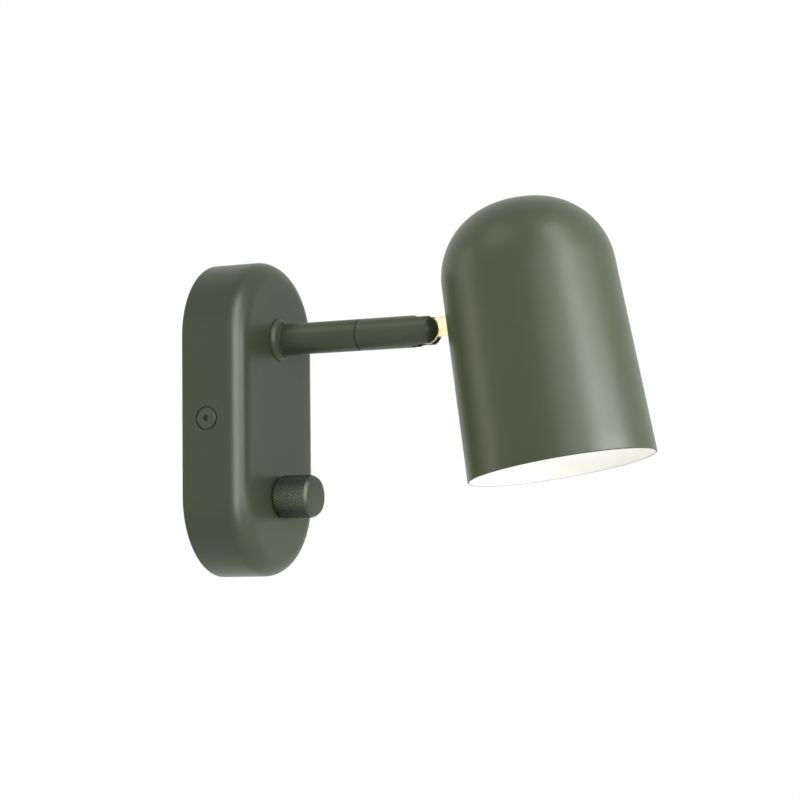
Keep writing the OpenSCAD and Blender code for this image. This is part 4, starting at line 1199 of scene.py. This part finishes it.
@dataclass
class PhotoStudio:
    """Camera at the photograph's angle, soft lights, white surroundings and a pale floor."""

    yaw: float = -64.073
    elevation: float = -4.615
    roll: float = -0.655
    anchor: tuple[float, float, float] = (0.0, -80 * MM, 5 * MM)
    across: float = 19.442 * MM
    up: float = 2.287 * MM
    distance: float = 1175.761 * MM
    focal_pixels: float = 2353.056
    sensor: float = 36.0
    clip: tuple[float, float] = (0.05, 60.0)
    ambient: float = 0.08
    floor_z: float = -1.7
    floor_half: float = 4.0
    lights: list[SoftLight] = field(default_factory=lambda: [
        SoftLight("wide_softbox", -4.0, 8.0, 1.5, 1.25, 0.55, 20.0),
        SoftLight("side_fill", -42.0, 8.0, 1.5, 0.5, 0.6, 7.0, sheen=False),
        SoftLight("left_fill", -118.0, 2.0, 1.7, 1.0, 1.6, 2.4),
        SoftLight("low_fill", -70.0, -50.0, 1.5, 1.2, 1.0, 0.8, sheen=False),
        SoftLight("upper_left", -118.0, 50.0, 1.5, 0.9, 0.9, 5.5, (1.0, 0.96, 0.78),
                  spares=("housing_shell",)),
        SoftLight("warm_back", -155.0, 6.0, 1.5, 0.6, 1.4, 6.5, (1.0, 0.96, 0.7)),
        SoftLight("wide_sheen", 2.0, 8.0, 1.5, 0.6, 0.6, 7.0, matt=False),
        SoftLight("tall_sheen", -18.0, 32.0, 1.5, 0.55, 1.7, 24.0, matt=False, spares=("housing_shell",)),
        SoftLight("side_sheen", -50.0, 8.0, 1.5, 0.5, 0.6, 4.0, matt=False,
                  spares=("housing_shell", "knurled_knob")),
        SoftLight("edge_strip", -49.0, 16.0, 1.2, 0.6, 2.0, 36.0, matt=False,
                  shines_on=("housing_shell", "knurled_knob")),
    ])

    def build(self) -> None:
        """Sets up everything round the object."""
        self._camera()
        self._surroundings()
        self._floor()
        for light in self.lights:
            light.build(Vector(self.anchor))

    def _camera(self) -> None:
        """Places the camera."""
        yaw, roll = math.radians(self.yaw), math.radians(self.roll)
        back = facing(self.yaw, self.elevation)
        right = Vector((math.cos(yaw), math.sin(yaw), 0.0))
        upward = back.cross(right)
        turned_right = right * math.cos(roll) + upward * math.sin(roll)
        turned_up = upward * math.cos(roll) - right * math.sin(roll)
        data = bpy.data.cameras.new("camera")
        data.sensor_width = self.sensor
        data.lens = self.focal_pixels * self.sensor / IMAGE_SIDE
        data.clip_start, data.clip_end = self.clip
        spot = Vector(self.anchor) + turned_right * self.across + turned_up * self.up + back * self.distance
        basis = Matrix((turned_right, turned_up, back)).transposed()
        item = place_object("camera", data)
        item.matrix_world = Matrix.Translation(spot) @ basis.to_4x4()
        bpy.context.scene.camera = item

    @staticmethod
    def _seen(bench: NodeBench) -> Socket:
        """Tells the rays that look at the background from those that light the object.

        Args:
            bench: The node bench.

        Returns:
            1 for camera, glossy and transmission rays, 0 for the others.
        """
        path = bench.add("ShaderNodeLightPath").outputs
        mirrored = bench.maths("MAXIMUM", path["Is Glossy Ray"], path["Is Transmission Ray"])
        return bench.maths("MAXIMUM", path["Is Camera Ray"], mirrored)

    def _surroundings(self) -> None:
        """Makes the surroundings white to look at and faint as a light."""
        world = bpy.data.worlds.new("studio")
        world.use_nodes = True
        bpy.context.scene.world = world
        bench = NodeBench(world.node_tree)
        strength = bench.stretch(self._seen(bench), self.ambient, 1.0, 0.0, 1.0)
        bench.feed(world.node_tree.nodes["Background"], {"Color": (1.0, 1.0, 1.0, 1.0), "Strength": strength})

    def _floor(self) -> None:
        """Lays the pale floor, which looks white and lights the object softly."""
        material, bench, shader = node_material("pale_floor")
        place = bench.add("ShaderNodeTexCoord").outputs["Object"]
        tone = bench.stretch(bench.noise(place, 2.0), 0.0, 1.0)
        bench.feed(shader, {
            "Base Color": bench.blend(tone, (0.9, 0.9, 0.9), (0.88, 0.88, 0.885)), "Roughness": 0.8,
            "Emission Color": (1.0, 1.0, 1.0, 1.0), "Emission Strength": self._seen(bench)})
        mesh = bpy.data.meshes.new("floor")
        corners = ((-1, -1), (1, -1), (1, 1), (-1, 1))
        mesh.from_pydata([(x * self.floor_half, y * self.floor_half, self.floor_z) for x, y in corners], [],
                         [(0, 1, 2, 3)])
        mesh.materials.append(material)
        place_object("floor", mesh)


def main() -> None:
    """Builds the lamp and its surroundings."""
    logging.basicConfig(level=logging.INFO, format="%(message)s")
    bpy.context.scene.view_settings.view_transform = "Standard"
    for maker in (WallHousing(), SwingArm(), DimmerKnob(), LampHead(), *InnerPiece, *Lead, PhotoStudio()):
        maker.build()


if __name__ == "__main__":
    main()
